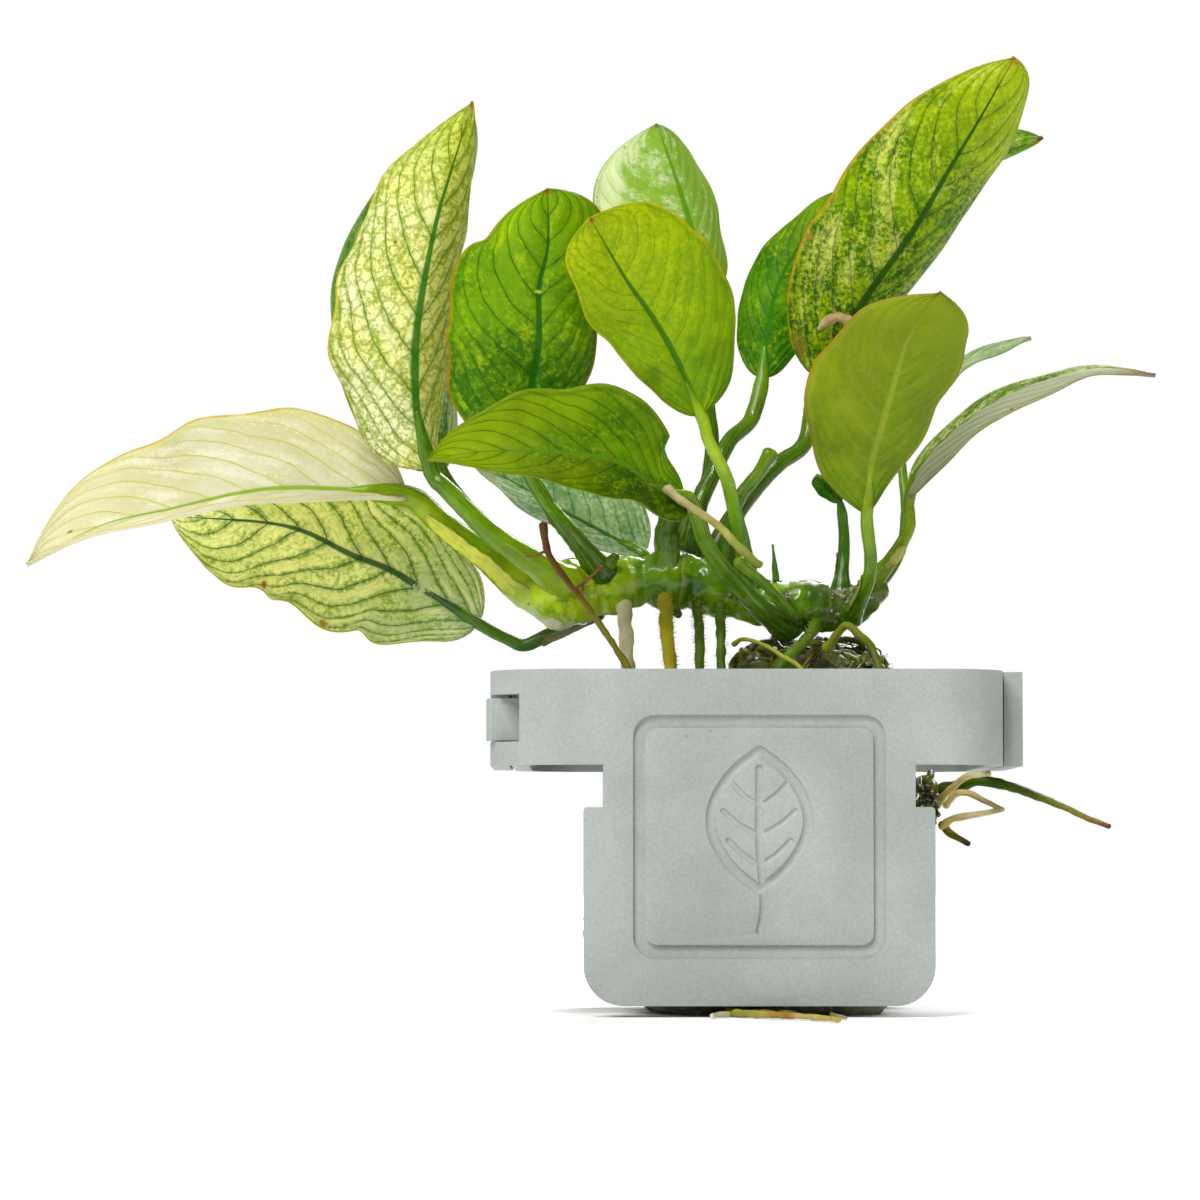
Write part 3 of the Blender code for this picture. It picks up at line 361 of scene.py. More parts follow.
# colours along each root
GREEN_ROOT = [(0.0, "54800c"), (0.5, "6c9410"), (1.0, "4c780a")]
OLIVE_ROOT = [(0.0, "74800c"), (0.75, "888410"), (0.9, "6e4614"), (1.0, "4a2c10")]
ROOT_LOOKS = {
    "root_white": [(0.0, "dcd094"), (0.3, "fff8dc"), (1.0, "f4ecc4")],
    "root_yellow": [(0.0, "c4b828"), (0.4, "f0e42c"), (1.0, "e0cc20")],
    "root_green": GREEN_ROOT,
    "root_green_short": GREEN_ROOT,
    "root_brown": [(0.0, "683c1a"), (0.25, "8c5c1c"), (0.4, "a0981c"), (1.0, "94a010")],
    "root_cream": [(0.0, "e0d49c"), (0.6, "ccc864"), (1.0, "90a820")],
    "root_thin_yellow": [(0.0, "94a81c"), (0.5, "c4c830"), (1.0, "b4b82c")],
    "root_hooked": [(0.0, "949c18"), (0.5, "74800c"), (1.0, "949618")],
    "root_side_green": GREEN_ROOT,
    "root_side_cream": [(0.0, "c0ac2c"), (0.4, "dcc878"), (1.0, "f0e4b8")],
    "root_side_long": [(0.0, "2a4c04"), (0.35, "406c04"), (0.7, "848c08"), (0.93, "968220"), (1.0, "6e3c14")],
    "root_side_arc": [(0.0, "e0d494"), (1.0, "d0bc74")],
    "root_side_low": [(0.0, "d0bc3c"), (0.5, "ece0b0"), (1.0, "dcd490")],
    "root_side_claw": OLIVE_ROOT,
    "root_floor_main": [
        (0.0, "94a01c"), (0.35, "c4b83c"), (0.55, "ba8228"), (0.7, "dece74"), (1.0, "dec434"),
    ],
    "root_floor_white": [(0.0, "e2dca8"), (1.0, "f0eed4")],
    "root_floor_olive_left": OLIVE_ROOT,
    "root_floor_olive_right": OLIVE_ROOT,
    "root_floor_taupe": [(0.0, "968c64"), (1.0, "b8b088")],
}


# ---------------------------------------------------------------- colours and node trees


def tint(text):
    """A colour as it is seen, written as six hex digits, in the renderer's linear values."""
    values = [int(text[place:place + 2], 16) / 255 for place in (0, 2, 4)]
    return (*[v / 12.92 if v <= 0.04045 else ((v + 0.055) / 1.055) ** 2.4 for v in values], 1.0)


class Value:
    """One output of a node, on which plain arithmetic adds math nodes."""

    def __init__(self, tree, socket):
        self.tree = tree
        self.socket = socket

    def __add__(self, other):
        return self.tree.math("ADD", self, other)

    def __sub__(self, other):
        return self.tree.math("SUBTRACT", self, other)

    def __rsub__(self, other):
        return self.tree.math("SUBTRACT", other, self)

    def __mul__(self, other):
        return self.tree.math("MULTIPLY", self, other)

    def __pow__(self, other):
        return self.tree.math("POWER", self, other)

    def __abs__(self):
        return self.tree.math("ABSOLUTE", self)


class Tree:
    """A material and short ways to add nodes to it. colour is what has been painted so far."""

    def __init__(self, name):
        self.material = bpy.data.materials.new(name)
        self.material.use_nodes = True
        self.nodes = self.material.node_tree.nodes
        self.links = self.material.node_tree.links
        self.nodes.clear()
        self.out = self.nodes.new("ShaderNodeOutputMaterial")
        self.colour = None

    def feed(self, socket, value):
        if isinstance(value, Value):
            self.links.new(value.socket, socket)
        elif isinstance(value, str):
            socket.default_value = tint(value)
        elif value is not None:
            socket.default_value = value

    def node(self, kind, inputs, output=0, **settings):
        """A new node with these settings, its inputs fed, and one of its outputs."""
        node = self.nodes.new("ShaderNode" + kind)
        for setting, value in settings.items():
            setattr(node, setting, value)
        for socket, value in inputs.items():
            self.feed(node.inputs[socket], value)
        return Value(self, node.outputs[output])

    def math(self, operation, a, b=None, clamp=False):
        return self.node("Math", {0: a, 1: b}, operation=operation, use_clamp=clamp)

    def step(self, value, low, high, first=0.0, last=1.0):
        """A smooth step from first, below low, to last, above high."""
        inputs = dict(enumerate((value, low, high, first, last)))
        return self.node("MapRange", inputs, interpolation_type="SMOOTHSTEP")

    def mix(self, share, a, b, blend="MIX"):
        return self.node("Mix", {0: share, 6: a, 7: b}, 2, data_type="RGBA", blend_type=blend)

    def noise(self, vector, scale, detail=4.0, rough=0.55):
        inputs = {"Vector": vector, "Scale": scale, "Detail": detail, "Roughness": rough}
        return self.node("TexNoise", inputs, "Fac")

    def noise_step(self, scale, detail, rough, *limits):
        """A smooth step on noise in the object's own space."""
        return self.step(self.noise(self.place(), scale, detail, rough), *limits)

    def cover(self, field, share, soft):
        """1 over about this share of a noise field, with soft borders."""
        level = 0.5 + (0.5 - share) * NOISE_SPREAD
        return self.step(field, level - soft / 2, level + soft / 2)

    def cells(self, vector, scale, feature="F1"):
        return self.node("TexVoronoi", {"Vector": vector, "Scale": scale}, "Distance", feature=feature)

    def place(self):
        """The place on the object, in metres."""
        return self.node("TexCoord", {}, "Object")

    def attribute(self, name, output="Fac"):
        return self.node("Attribute", {}, output, attribute_name=name)

    def split(self, name):
        """The three parts of a vector kept on the mesh."""
        parts = self.node("SeparateXYZ", {0: self.attribute(name, "Vector")}).socket.node.outputs
        return [Value(self, part) for part in parts]

    def vector(self, x, y, z):
        return self.node("CombineXYZ", {0: x, 1: y, 2: z})

    def ramp(self, value, stops):
        result = self.node("ValToRGB", {0: value})
        elements = result.socket.node.color_ramp.elements
        while len(elements) < len(stops):
            elements.new(0.5)
        for element, (position, colour) in zip(elements, stops):
            element.position = position
            element.color = tint(colour)
        return result

    def bump(self, height, distance, strength):
        return self.node("Bump", {"Strength": strength, "Distance": distance, "Height": height})

    def paint(self, share, colour):
        """Covers this share of the colour so far with another."""
        self.colour = self.mix(share, self.colour, colour)

    def shade(self, light):
        """Darkens or lightens the colour so far."""
        self.colour = self.mix(1.0, self.colour, self.vector(light, light, light), "MULTIPLY")

    def surface(self, roughness, normal=None, glow=0.0, shine=0.5, coat=0.0, glow_tint=PALE_YELLOW):
        """The main shader, mixed with light passing through where glow is above 0."""
        inputs = {"Base Color": self.colour, "Roughness": roughness, "Normal": normal}
        inputs |= {"Specular IOR Level": shine, "Coat Weight": coat, "Coat Roughness": COAT_ROUGHNESS}
        result = self.node("BsdfPrincipled", inputs)
        if glow:
            passed = self.mix(1.0, self.colour, glow_tint, "MULTIPLY")
            light = self.node("BsdfTranslucent", {0: passed})
            result = self.node("MixShader", {0: glow, 1: result, 2: light})
        self.feed(self.out.inputs["Surface"], result)
        return self.material


# ---------------------------------------------------------------- lines and meshes


def catmull(points, steps):
    """Points of a smooth line through the given ones, steps for each stretch."""
    ends = [points[0] * 2 - points[1], *points, points[-1] * 2 - points[-2]]
    line = []
    for a, b, c, d in zip(ends, ends[1:], ends[2:], ends[3:]):
        for step in range(steps):
            t = step / steps
            bend = (2 * a - 5 * b + 4 * c - d) * t**2 + (3 * b - a - 3 * c + d) * t**3
            line.append(0.5 * (2 * b + (c - a) * t + bend))
    return line + [points[-1]]


def even_line(points, count):
    """The smooth line through points, as count + 1 points at even spacing."""
    fine = catmull([Vector(p) for p in points], SPLINE_STEPS)
    lengths = [0.0]
    for a, b in zip(fine, fine[1:]):
        lengths.append(lengths[-1] + (b - a).length)
    line = [fine[0].copy()]
    place = 1
    for index in range(1, count + 1):
        wanted = lengths[-1] * index / count
        while place < len(fine) - 1 and lengths[place] < wanted:
            place += 1
        share = (wanted - lengths[place - 1]) / max(lengths[place] - lengths[place - 1], 1e-9)
        line.append(fine[place - 1].lerp(fine[place], min(share, 1.0)))
    return line


def frames(line):
    """The tangent and two square directions at each point, turning as little as can be."""
    result = []
    side = None
    for index in range(len(line)):
        tangent = (line[min(index + 1, len(line) - 1)] - line[max(index - 1, 0)]).normalized()
        if side is None:
            side = tangent.cross(Vector((0.31, 0.9, 0.3))).normalized()
        side = (side - tangent * side.dot(tangent)).normalized()
        result.append((tangent, side, tangent.cross(side)))
    return result


def around(side, other, angle):
    """The direction at an angle, in radians, from side towards other."""
    return side * math.cos(angle) + other * math.sin(angle)


def add_object(name, data):
    made = bpy.data.objects.new(name, data)
    bpy.context.scene.collection.objects.link(made)
    return made


def solid_from(body, name, smooth=True):
    """The bmesh as a new object."""
    mesh = bpy.data.meshes.new(name)
    body.to_mesh(mesh)
    body.free()
    if smooth:
        mesh.shade_smooth()
    return add_object(name, mesh)


def finish_mesh(name, points, faces, uvs=None, under=None, stem=None, smooth=True):
    """A new object from points in millimetres. uvs, under and stem hold one entry a point."""
    mesh = bpy.data.meshes.new(name)
    mesh.from_pydata([tuple(p * MM) for p in points], [], faces)
    if uvs:
        layer = mesh.uv_layers.new(name="along_uv")
        for loop in mesh.loops:
            layer.data[loop.index].uv = uvs[loop.vertex_index]
    if under:
        layer = mesh.attributes.new("under", "FLOAT", "POINT")
        layer.data.foreach_set("value", under)
    if stem:
        layer = mesh.attributes.new("stem", "FLOAT_VECTOR", "POINT")
        layer.data.foreach_set("vector", [part for entry in stem for part in entry])
    if smooth:
        mesh.shade_smooth()
    return add_object(name, mesh)


def two_layers(name, points, wide, **layers):
    """A thin sheet from two layers of rows, wide points in each row, closed round its rim."""
    size = len(points) // 2
    rows = size // wide
    faces = []
    for row in range(rows - 1):
        for column in range(wide - 1):
            a = row * wide + column
            corners = (a, a + 1, a + 1 + wide, a + wide)
            faces.append(corners)
            faces.append(tuple(corner + size for corner in reversed(corners)))
    rim = [row * wide for row in range(rows)]
    rim += [(rows - 1) * wide + column for column in range(1, wide)]
    rim += [row * wide + wide - 1 for row in range(rows - 2, -1, -1)]
    rim += range(wide - 2, 0, -1)
    faces += [(a, b, b + size, a + size) for a, b in zip(rim, rim[1:] + rim[:1])]
    sheet = finish_mesh(name, points, faces, **layers)
    shell = bmesh.new()
    shell.from_mesh(sheet.data)
    bmesh.ops.recalc_face_normals(shell, faces=shell.faces)
    shell.to_mesh(sheet.data)
    shell.free()
    return sheet


def tube_data(line, radii, sides, lump=0.0, seed=0.0, flat=0.0):
    """Rings round a line with rounded ends: points, faces, and each point's place on the stem.

    That place is the share along the line and the cosine and sine of the angle round it.
    """
    points = []
    faces = []
    stem = []
    turned = frames(line)
    last = len(line) - 1
    rings = [(0, -0.95, 0.3), (0, -0.75, 0.66), (0, -0.4, 0.91)]
    rings += [(index, 0.0, 1.0) for index in range(last + 1)]
    rings += [(last, 0.4, 0.91), (last, 0.75, 0.66), (last, 0.95, 0.3)]
    for index, push, share in rings:
        tangent, side, other = turned[index]
        radius = radii[index]
        centre = line[index] + tangent * push * radius * END_ROUND
        for step in range(sides):
            angle = 2 * math.pi * step / sides
            way = side * math.cos(angle) + other * math.sin(angle) * (1 - flat)
            spot = centre + way * radius * share
            if lump:
                spot += way * radius * lump * noise.noise(spot * 0.9 + Vector((seed, 0, 0)))
            points.append(spot)
            stem.append((index / last, math.cos(angle), math.sin(angle)))
    ring_steps = [(step, (step + 1) % sides) for step in range(sides)]
    for ring in range(len(rings) - 1):
        start = ring * sides
        faces += [(start + a, start + b, start + b + sides, start + a + sides) for a, b in ring_steps]
    for index, shift, start in ((0, -1.0, 0), (last, 1.0, (len(rings) - 1) * sides)):
        tip = len(points)
        points.append(line[index] + turned[index][0] * shift * radii[index] * END_ROUND)
        stem.append((index / last, 0.0, 0.0))
        for a, b in ring_steps:
            faces.append((start + a, start + b, tip) if index else (start + b, start + a, tip))
    return points, faces, stem


def strand(points, first, last, count, sides, lump, seed=0.0, flat=0.0, flare_start=0.0, flare_end=0.0):
    """A tube through points whose radius runs from first to last, swelling at its ends."""
    radii = []
    for index in range(count + 1):
        share = index / count
        radius = first + (last - first) * share
        radii.append(radius * (1 + flare_start * (1 - share) ** 14 + flare_end * share**14))
    return tube_data(even_line(points, count), radii, sides, lump, seed, flat)


def joined(name, pieces, smooth=True):
    """Several (points, faces, stem) groups as one object."""
    points = []
    faces = []
    stem = []
    for more, loops, places in pieces:
        start = len(points)
        points += more
        faces += [tuple(index + start for index in loop) for loop in loops]
        stem += places
    return finish_mesh(name, points, faces, stem=stem, smooth=smooth)


def show(piece, surface, node=None):
    """Gives a piece its material, hangs it under the root body and hides the CAD part it replaces."""
    piece.data.materials.append(surface)
    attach(piece, "root")
    if node:
        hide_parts(node)


# ---------------------------------------------------------------- leaves


def blade_width(along, widest, base_power):
    """Share of the full width at a place from 0, the base, to 1, the tip."""
    tip_power = base_power * (1 - widest) / widest
    inside = min(max(along, 0.0), 1.0)
    return (inside / widest) ** base_power * ((1 - inside) / (1 - widest)) ** tip_power


def vein_phase(along, out):
    """Whole numbers lie on the main side veins, which bend towards the tip."""
    return VEINS * (along - 0.24 * out - 0.2 * out**3)


def make_blade(name, leaf, look):
    """A blade with its midrib, side veins, waved margin and real thickness."""
    midrib, side_a, side_b, widest, arch = leaf
    shares = [0.5 - 0.5 * math.cos(math.pi * row / BLADE_ROWS) for row in range(BLADE_ROWS + 1)]
    fine = even_line(midrib, FINE_STEPS)
    line = [fine[round(share * FINE_STEPS)] for share in shares]
    seed = look["seed"]
    top = look["top"]
    points = []
    uvs = []
    under = []
    columns = range(-HALF_COLUMNS, HALF_COLUMNS + 1)
    for layer in (1, -1):
        for index, place in enumerate(line):
            tangent = (line[min(index + 1, BLADE_ROWS)] - line[max(index - 1, 0)]).normalized()
            along = shares[index]
            for column in columns:
                second = column > 0
                out = (abs(column) / HALF_COLUMNS) ** 0.9
                side = Vector(side_a if column < 0 else side_b)
                length = side.length
                way = (side - tangent * side.dot(tangent)).normalized()
                share = blade_width(along, widest[second], look["base_power"]) * (1 - along**24) ** 0.5
                share *= 1 + look["ruffle"] * noise.noise(Vector((along * 7, 3.0 * second, seed)))
                half = max(share * length, TIP_HALF_WIDTH)
                facing = tangent.cross(way) * (1 if column < 0 else -1)
                rise = arch * half * 4 * out * (1 - out)
                sweep = math.sin(2 * math.pi * (2.4 * along + seed) + 1.3 * second)
                rise += look["wave"] * out**2 * sweep * min(1.0, half / 4)
                edge = min(1.0, (1 - out) * 5) * min(1.0, out * 6)
                rise += top * QUILT * edge * -math.cos(2 * math.pi * vein_phase(along, out))
                groove = math.exp(-((out * half / 0.45) ** 2))
                depth = 0.16 * (1 - out**4) + 0.05
                depth += -0.14 * groove if layer == top else 0.42 * groove * (1 - 0.8 * along)
                points.append(place + way * half * out + facing * (rise + layer * depth))
                uvs.append((0.5 + 0.5 * out * (1 if second else -1), along))
                under.append(0.0 if layer == top else 1.0)
    return two_layers(name, points, len(columns), uvs=uvs, under=under)


def leaf_material(name, look):
    """Ground colour, mottling and patches between veins, veins, midrib, margin and spots."""
    tree = Tree(name)
    step = tree.step
    u, along, _ = tree.split("along_uv")
    across = (u - 0.5) * 2.0
    out = abs(across)
    place = tree.place()
    cloud = tree.noise(place, 420.0, 4.0, 0.65)
    grain = tree.noise(place, look["fineness"], 4.0, 0.7)

    # side veins, a little uneven
    lane = along - (out * 0.24 + out**3.0 * 0.2)
    phase = lane * float(VEINS) + (tree.noise(place, 170.0, 3.0) * 0.6 + 19.7)

    def distance(times):
        return abs(tree.math("FRACT", phase * times) * 2.0 - 1.0)

    near = distance(1.0)
    vein = step(near, step(cloud, 0.3, 0.7, 0.9, 0.97), 0.985) * step(out, 0.97, 0.75, 0.2, 1.0)
    near_vein = step(near, 0.4, 1.0) * look["near_veins"]
    vein_fine = step(distance(5.0), 0.7, 1.0) * step(grain, 0.35, 0.6)
    narrow = (1.15 - along) * 0.075
    rib = step(out, narrow * 0.5, narrow, 1.0, 0.0)

    # ground
    broad = tree.noise(place, look["broad"], 5.0, 0.6)
    tree.colour = tree.mix(step(broad, 0.36, 0.64), look["dark"], look["light"])
    if look["other_side"]:
        side = across + (cloud - 0.5) * 0.8
        start = look["side_start"]
        tree.paint(step(side, start, start + 0.35, 0.0, 0.9), look["other_side"])
    if look["tip"]:
        uneven = along + (broad - 0.5) * 0.6
        tree.paint(step(uneven, look["tip_start"], 0.98, 0.0, 0.9), look["tip"])
    if look["base"]:
        tree.paint(step(along + cloud, 1.05, 0.55, 0.0, 0.8), look["base"])
    field = grain * 0.65 + cloud * 0.35 + near_vein
    mottled = tree.cover(field, look["mottle_share"], look["soft"])
    tree.paint(mottled * look["mottle_strength"], look["mottle"])
    if look["network"]:
        shifted = tree.mix(0.0035, place, tree.noise(place, 500.0, 3.0), "ADD")
        mesh = step(tree.cells(shifted, 640.0, "DISTANCE_TO_EDGE"), 0.03, 0.16, 1.0, 0.0)
        tree.paint(mesh * step(grain, 0.3, 0.55, 0.35, 1.0) * look["network"], look["mottle"])
    blotch = tree.noise(tree.vector(across * 3.5, lane * 10.0, look["seed"]), 1.0, 4.0, 0.6)
    field = blotch * 0.6 + grain * 0.4 + across * look["patch_side"] - near_vein
    patches = tree.cover(field, look["patch_share"], look["soft"])
    tree.paint(patches * look["patch_strength"], look["patch"])
    if look["side_over"]:
        tree.paint(step(across, -0.1, 0.08, 0.0, look["side_over"]), look["other_side"])

    # veins and margin
    tree.paint(step(near, 0.6, 1.0) * (look["veins"] * 0.35), look["vein"])
    tree.paint(vein_fine * look["fine"], look["vein"])
    tree.paint(vein * look["veins"], look["vein"])
    tree.paint(rib * 0.92, look["rib"])
    ends = tree.math("MAXIMUM", out, step(along, 0.93, 1.0, 0.0, 0.985))
    tree.paint(step(ends, 0.88, 0.93) * step(ends, 0.97, 0.94) * 0.3, look["vein"])
    tree.paint(step(ends, 0.962, 0.99) * step(cloud, 0.25, 0.6, 0.35, 1.0), look["margin"])

    # small brown marks, a brown point and larger scars
    tree.paint(step(tree.noise(place, 620.0, 1.0), 0.79, 0.815) * 0.6, MARK_BROWN)
    point = step(along, look["point_start"], 0.99) * step(out, look["point_size"] + 0.1, 0.02)
    tree.paint(point, look["point"])
    for spot_across, spot_along, size, spot_colour in look["spots"]:
        square = ((across - spot_across) * 0.22) ** 2.0 + ((along - spot_along) * 1.4) ** 2.0
        away = tree.math("SQRT", square) + (grain - 0.5) * (size * 2.5)
        tree.paint(step(away, size * 0.5, size, 0.9, 0.0), spot_colour)

    tree.paint(tree.attribute("under") * look["under_share"], look["under"])
    normal = tree.bump(vein * -0.5 + grain * 0.4 + vein_fine * -0.2, 0.0002, 0.7)
    gloss = step(tree.noise(place, 240.0, 3.0), 0.3, 0.7, look["gloss"], look["gloss"] + 0.16)
    return tree.surface(gloss, normal, glow=look["glow"], shine=0.16, glow_tint=look["glow_tint"])


def leaf_look(name):
    colours, own = LEAF_LOOKS[name]
    return {**LOOK, **dict(zip(COLOUR_NAMES, colours.split())), **own}


def make_leaves():
    for name, leaf in LEAVES.items():
        look = leaf_look(name)
        surface = leaf_material("blade_%s_skin" % name, look)
        show(make_blade("blade_" + name, leaf, look), surface, "leaf_" + name)


# ---------------------------------------------------------------- stalks, rhizome and roots


def stem_material(name, stops, streaks, share=0.35, gloss=0.12, grit=0.3, glow=0.15, shine=0.5):
    """A stem's colour along its length, streaked lengthwise and lightly pitted."""
    tree = Tree(name)
    place = tree.place()
    along, ring_x, ring_y = tree.split("stem")
    uneven = (tree.noise(place, 220.0, 3.0) - 0.5) * 0.3
    tree.colour = tree.ramp(tree.math("ADD", along, uneven, clamp=True), stops)
    streak = tree.noise(tree.vector(ring_x * 3.6, ring_y * 3.6, along * 4.0), 1.6, 5.0, 0.65)
    tree.paint(tree.step(streak, 0.48, 0.66) * share, streaks)
    speck = tree.noise(place, 1100.0, 4.0, 0.7)
    tree.paint(tree.step(speck, 0.6, 0.75) * (share * 0.8), streaks)
    tree.shade(tree.noise_step(360.0, 4.0, 0.55, 0.25, 0.75, 0.64, 0.98))
    normal = tree.bump(speck * 0.6 + streak * 0.8, 0.00015, grit)
    rough = tree.noise_step(500.0, 3.0, 0.55, 0.3, 0.7, gloss, gloss + 0.14)
    return tree.surface(rough, normal, glow=glow, shine=shine)


def rhizome_material():
    """Wet glossy green skin with leaf-scar rings, paler growth and brown wet patches."""
    tree = Tree("rhizome_skin")
    along = tree.split("stem")[0]
    broad = tree.noise(tree.place(), 170.0, 4.0, 0.6)
    fine = tree.noise(tree.place(), 620.0, 5.0, 0.7)
    tree.colour = tree.mix(tree.step(broad, 0.35, 0.65), "2f5f00", "78a000")
    ring = tree.math("FRACT", along * RINGS + broad * 0.5)
    scar = tree.step(ring, 0.0, 0.1, 1.0, 0.0)
    tree.paint(scar * 0.45, "a8a848")
    tree.paint(tree.step(along, 0.34, 0.05) * tree.step(fine, 0.3, 0.55) * 0.85, "b4cc10")
    tree.paint(tree.step(fine * 0.7 + along * 0.42, 0.6, 0.74) * 0.7, "38400e")
    tree.paint(tree.noise_step(900.0, 3.0, 0.7, 0.68, 0.76) * 0.55, "c8cc90")
    normal = tree.bump(scar * -0.7 + fine * 0.3, 0.0003, 0.6)
    rough = tree.noise_step(420.0, 3.0, 0.55, 0.35, 0.7, 0.12, 0.4)
    return tree.surface(rough, normal, glow=0.14, shine=0.3, coat=0.16)


def litter_material(name, dark, light, gloss):
    """Wet crumbs and fibres, mossy in places."""
    tree = Tree(name)
    tree.colour = tree.mix(tree.noise_step(420.0, 5.0, 0.7, 0.35, 0.68), dark, light)
    tree.paint(tree.noise_step(230.0, 4.0, 0.55, 0.5, 0.62) * 0.5, "5c7808")
    normal = tree.bump(tree.noise(tree.place(), 1700.0, 5.0, 0.7), 0.0003, 0.8)
    rough = tree.noise_step(600.0, 3.0, 0.55, 0.35, 0.65, gloss, gloss + 0.35)
    return tree.surface(rough, normal, coat=0.35)


def into_blade(name, points, first, last):
    """A leaf stalk's line carried on along the back of its midrib, and its radii."""
    midrib = even_line(LEAVES[name][0], 20)
    line = even_line([midrib[3], midrib[1], *points], STALK_STEPS)
    radii = []
    for index in range(STALK_STEPS + 1):
        share = index / STALK_STEPS
        radius = first + (last - first) * share
        radius *= 0.3 + 0.7 * min(1.0, share / 0.16) ** 0.7
        radii.append(radius * (1 + 0.95 * share**6))
    return line, radii


def stalk_surface(name):
    """A stalk's skin, starting in the colour of the midrib it grows into."""
    stops = [(0.0, leaf_look(name)["rib"]), *STALK_LOOKS.get(name, STALK_GREENS)]
    return stem_material("stalk_%s_skin" % name, stops, "b4c440", shine=0.32, gloss=0.06)


def root_surface(name):
    stops = ROOT_LOOKS[name]
    return stem_material(name + "_skin", stops, "b49c3c", 0.2, gloss=0.3, grit=0.5, glow=0.35, shine=0.3)


def make_stems():
    """Every stalk and root, each replacing the solid of its own name."""
    plain_surface = stem_material("stalk_skin", STALK_GREENS, "96b030", shine=0.32, gloss=0.06)
    for name, (points, first, last) in STALKS.items():
        title = "petiole_" + name
        data = tube_data(*into_blade(name, points, first, last), 18, 0.08, len(title), 0.12)
        show(joined(title, [data]), stalk_surface(name), "stalk_" + name)
    for name, (points, first, last) in {**STEMS, **SIDE_ROOTS, **FLOOR_ROOTS}.items():
        title = name + "_grown"
        seed = len(title)
        if name.startswith("stalk"):
            data = strand(points, first, last, STEM_STEPS, 16, 0.15, seed, flat=0.1, flare_start=0.3)
            show(joined(title, [data]), plain_surface, name)
            continue
        if name in STEMS:
            data = strand(points, first, last, STEM_STEPS, 14, 0.35, seed, flare_start=0.5)
        else:
            swell = 1.3 if name in SIDE_ROOTS else 1.0
            data = strand(points, first * swell, last * swell * 0.8, ROOT_STEPS, 12, 0.3, seed)
        show(joined(title, [data]), root_surface(name), name)


def make_rhizome():
    """The creeping stem: swollen between leaf scars, with short buds."""
    line = even_line([place for place, _ in RHIZOME], RHIZOME_STEPS)
    turned = frames(line)
    spans = len(RHIZOME) - 1
    radii = []
    for index in range(RHIZOME_STEPS + 1):
        share = index / RHIZOME_STEPS * spans
        piece = min(int(share), spans - 1)
        radius = RHIZOME[piece][1] + (RHIZOME[piece + 1][1] - RHIZOME[piece][1]) * (share - piece)
        ring = (index / RHIZOME_STEPS * RINGS) % 1.0
        radius *= 1 + 0.1 * math.sin(index * 0.115 + 0.6)
        radii.append(radius * (0.84 + 0.2 * math.sin(math.pi * ring) ** 0.6))
    pieces = [tube_data(line, radii, 40, lump=0.1, seed=3.0)]
    for share, angle, length, radius in BUDS:
        index = int(share * RHIZOME_STEPS)
        tangent, side, other = turned[index]
        way = around(side, other, angle)
        root = line[index] + way * radii[index] * 0.5
        path = [root, root + way * length * 0.6 + tangent, root + way * length + tangent * 2]
        pieces.append(strand(path, radius, radius * 0.35, 12, 16, 0.1))
    show(joined("rhizome_grown", pieces), rhizome_material(), "rhizome")


# ---------------------------------------------------------------- holder


def arc(x, y, radius, first, last, steps=14):
    """Points on a circle from one angle to the other, in degrees."""
    points = []
    for step in range(steps + 1):
        angle = math.radians(first + (last - first) * step / steps)
        points.append((x + radius * math.cos(angle), y + radius * math.sin(angle)))
    return points


def rounded_box(half_width, low, top, radius):
    points = []
    below = low + radius
    above = top - radius
    for side, height, start in ((1, below, -90), (1, above, 0), (-1, above, 90), (-1, below, 180)):
        points += arc(side * (half_width - radius), height, radius, start, start + 90, 8)
    return points


def flat_solid(name, outline, low, high, upright=False):
    """A flat outline made thick, from low to high along Z, or along Y if upright."""
    body = bmesh.new()
    spots = [(a, low, b) if upright else (a, b, low) for a, b in outline]
    face = body.faces.new([body.verts.new([part * MM for part in spot]) for spot in spots])
    thick = (high - low) * MM
    push = (0, thick, 0) if upright else (0, 0, thick)
    grown = bmesh.ops.extrude_face_region(body, geom=[face])
    moved = [item for item in grown["geom"] if isinstance(item, bmesh.types.BMVert)]
    bmesh.ops.translate(body, verts=moved, vec=push)
    bmesh.ops.recalc_face_normals(body, faces=body.faces)
    return solid_from(body, name, smooth=False)


def combine(target, other, how):
    step = target.modifiers.new(other.name, "BOOLEAN")
    step.operation = how
    step.solver = "EXACT"
    step.object = other


def band_outline():
    """Half the collar in plan: outer end at -X, front, then the tongue at +X."""
    sides = []
    reach = OUTER_CORNER - WALL - GAP
    for wall, tongue_wall in ((0.0, 0.0), (WALL, TONGUE_WALL)):
        side = [(wall - OUTER_X, OVERLAP_Y)]
        side += arc(OUTER_CORNER - OUTER_X, OUTER_CORNER - HALF_DEPTH, OUTER_CORNER - wall, 180, 270)
        radius = TONGUE_CORNER - tongue_wall
        side += arc(TONGUE_X - TONGUE_CORNER, TONGUE_CORNER - HALF_DEPTH, radius, 270, 360)
        side += arc(*FAR_CORNER, reach - tongue_wall, 0, TONGUE_TURN, 6)
        sides.append(side)
    return sides[0] + sides[1][::-1]


def hook_outline():
    """The catch on the tongue: a ramp that rises to a square shoulder."""
    low = arc(*FAR_CORNER, OUTER_CORNER - WALL - GAP - HOOK_ROOT, 6, 30, 6)
    return arc(*FAR_CORNER, OUTER_CORNER + HOOK_OUT, 6, 22, 4) + low[::-1]


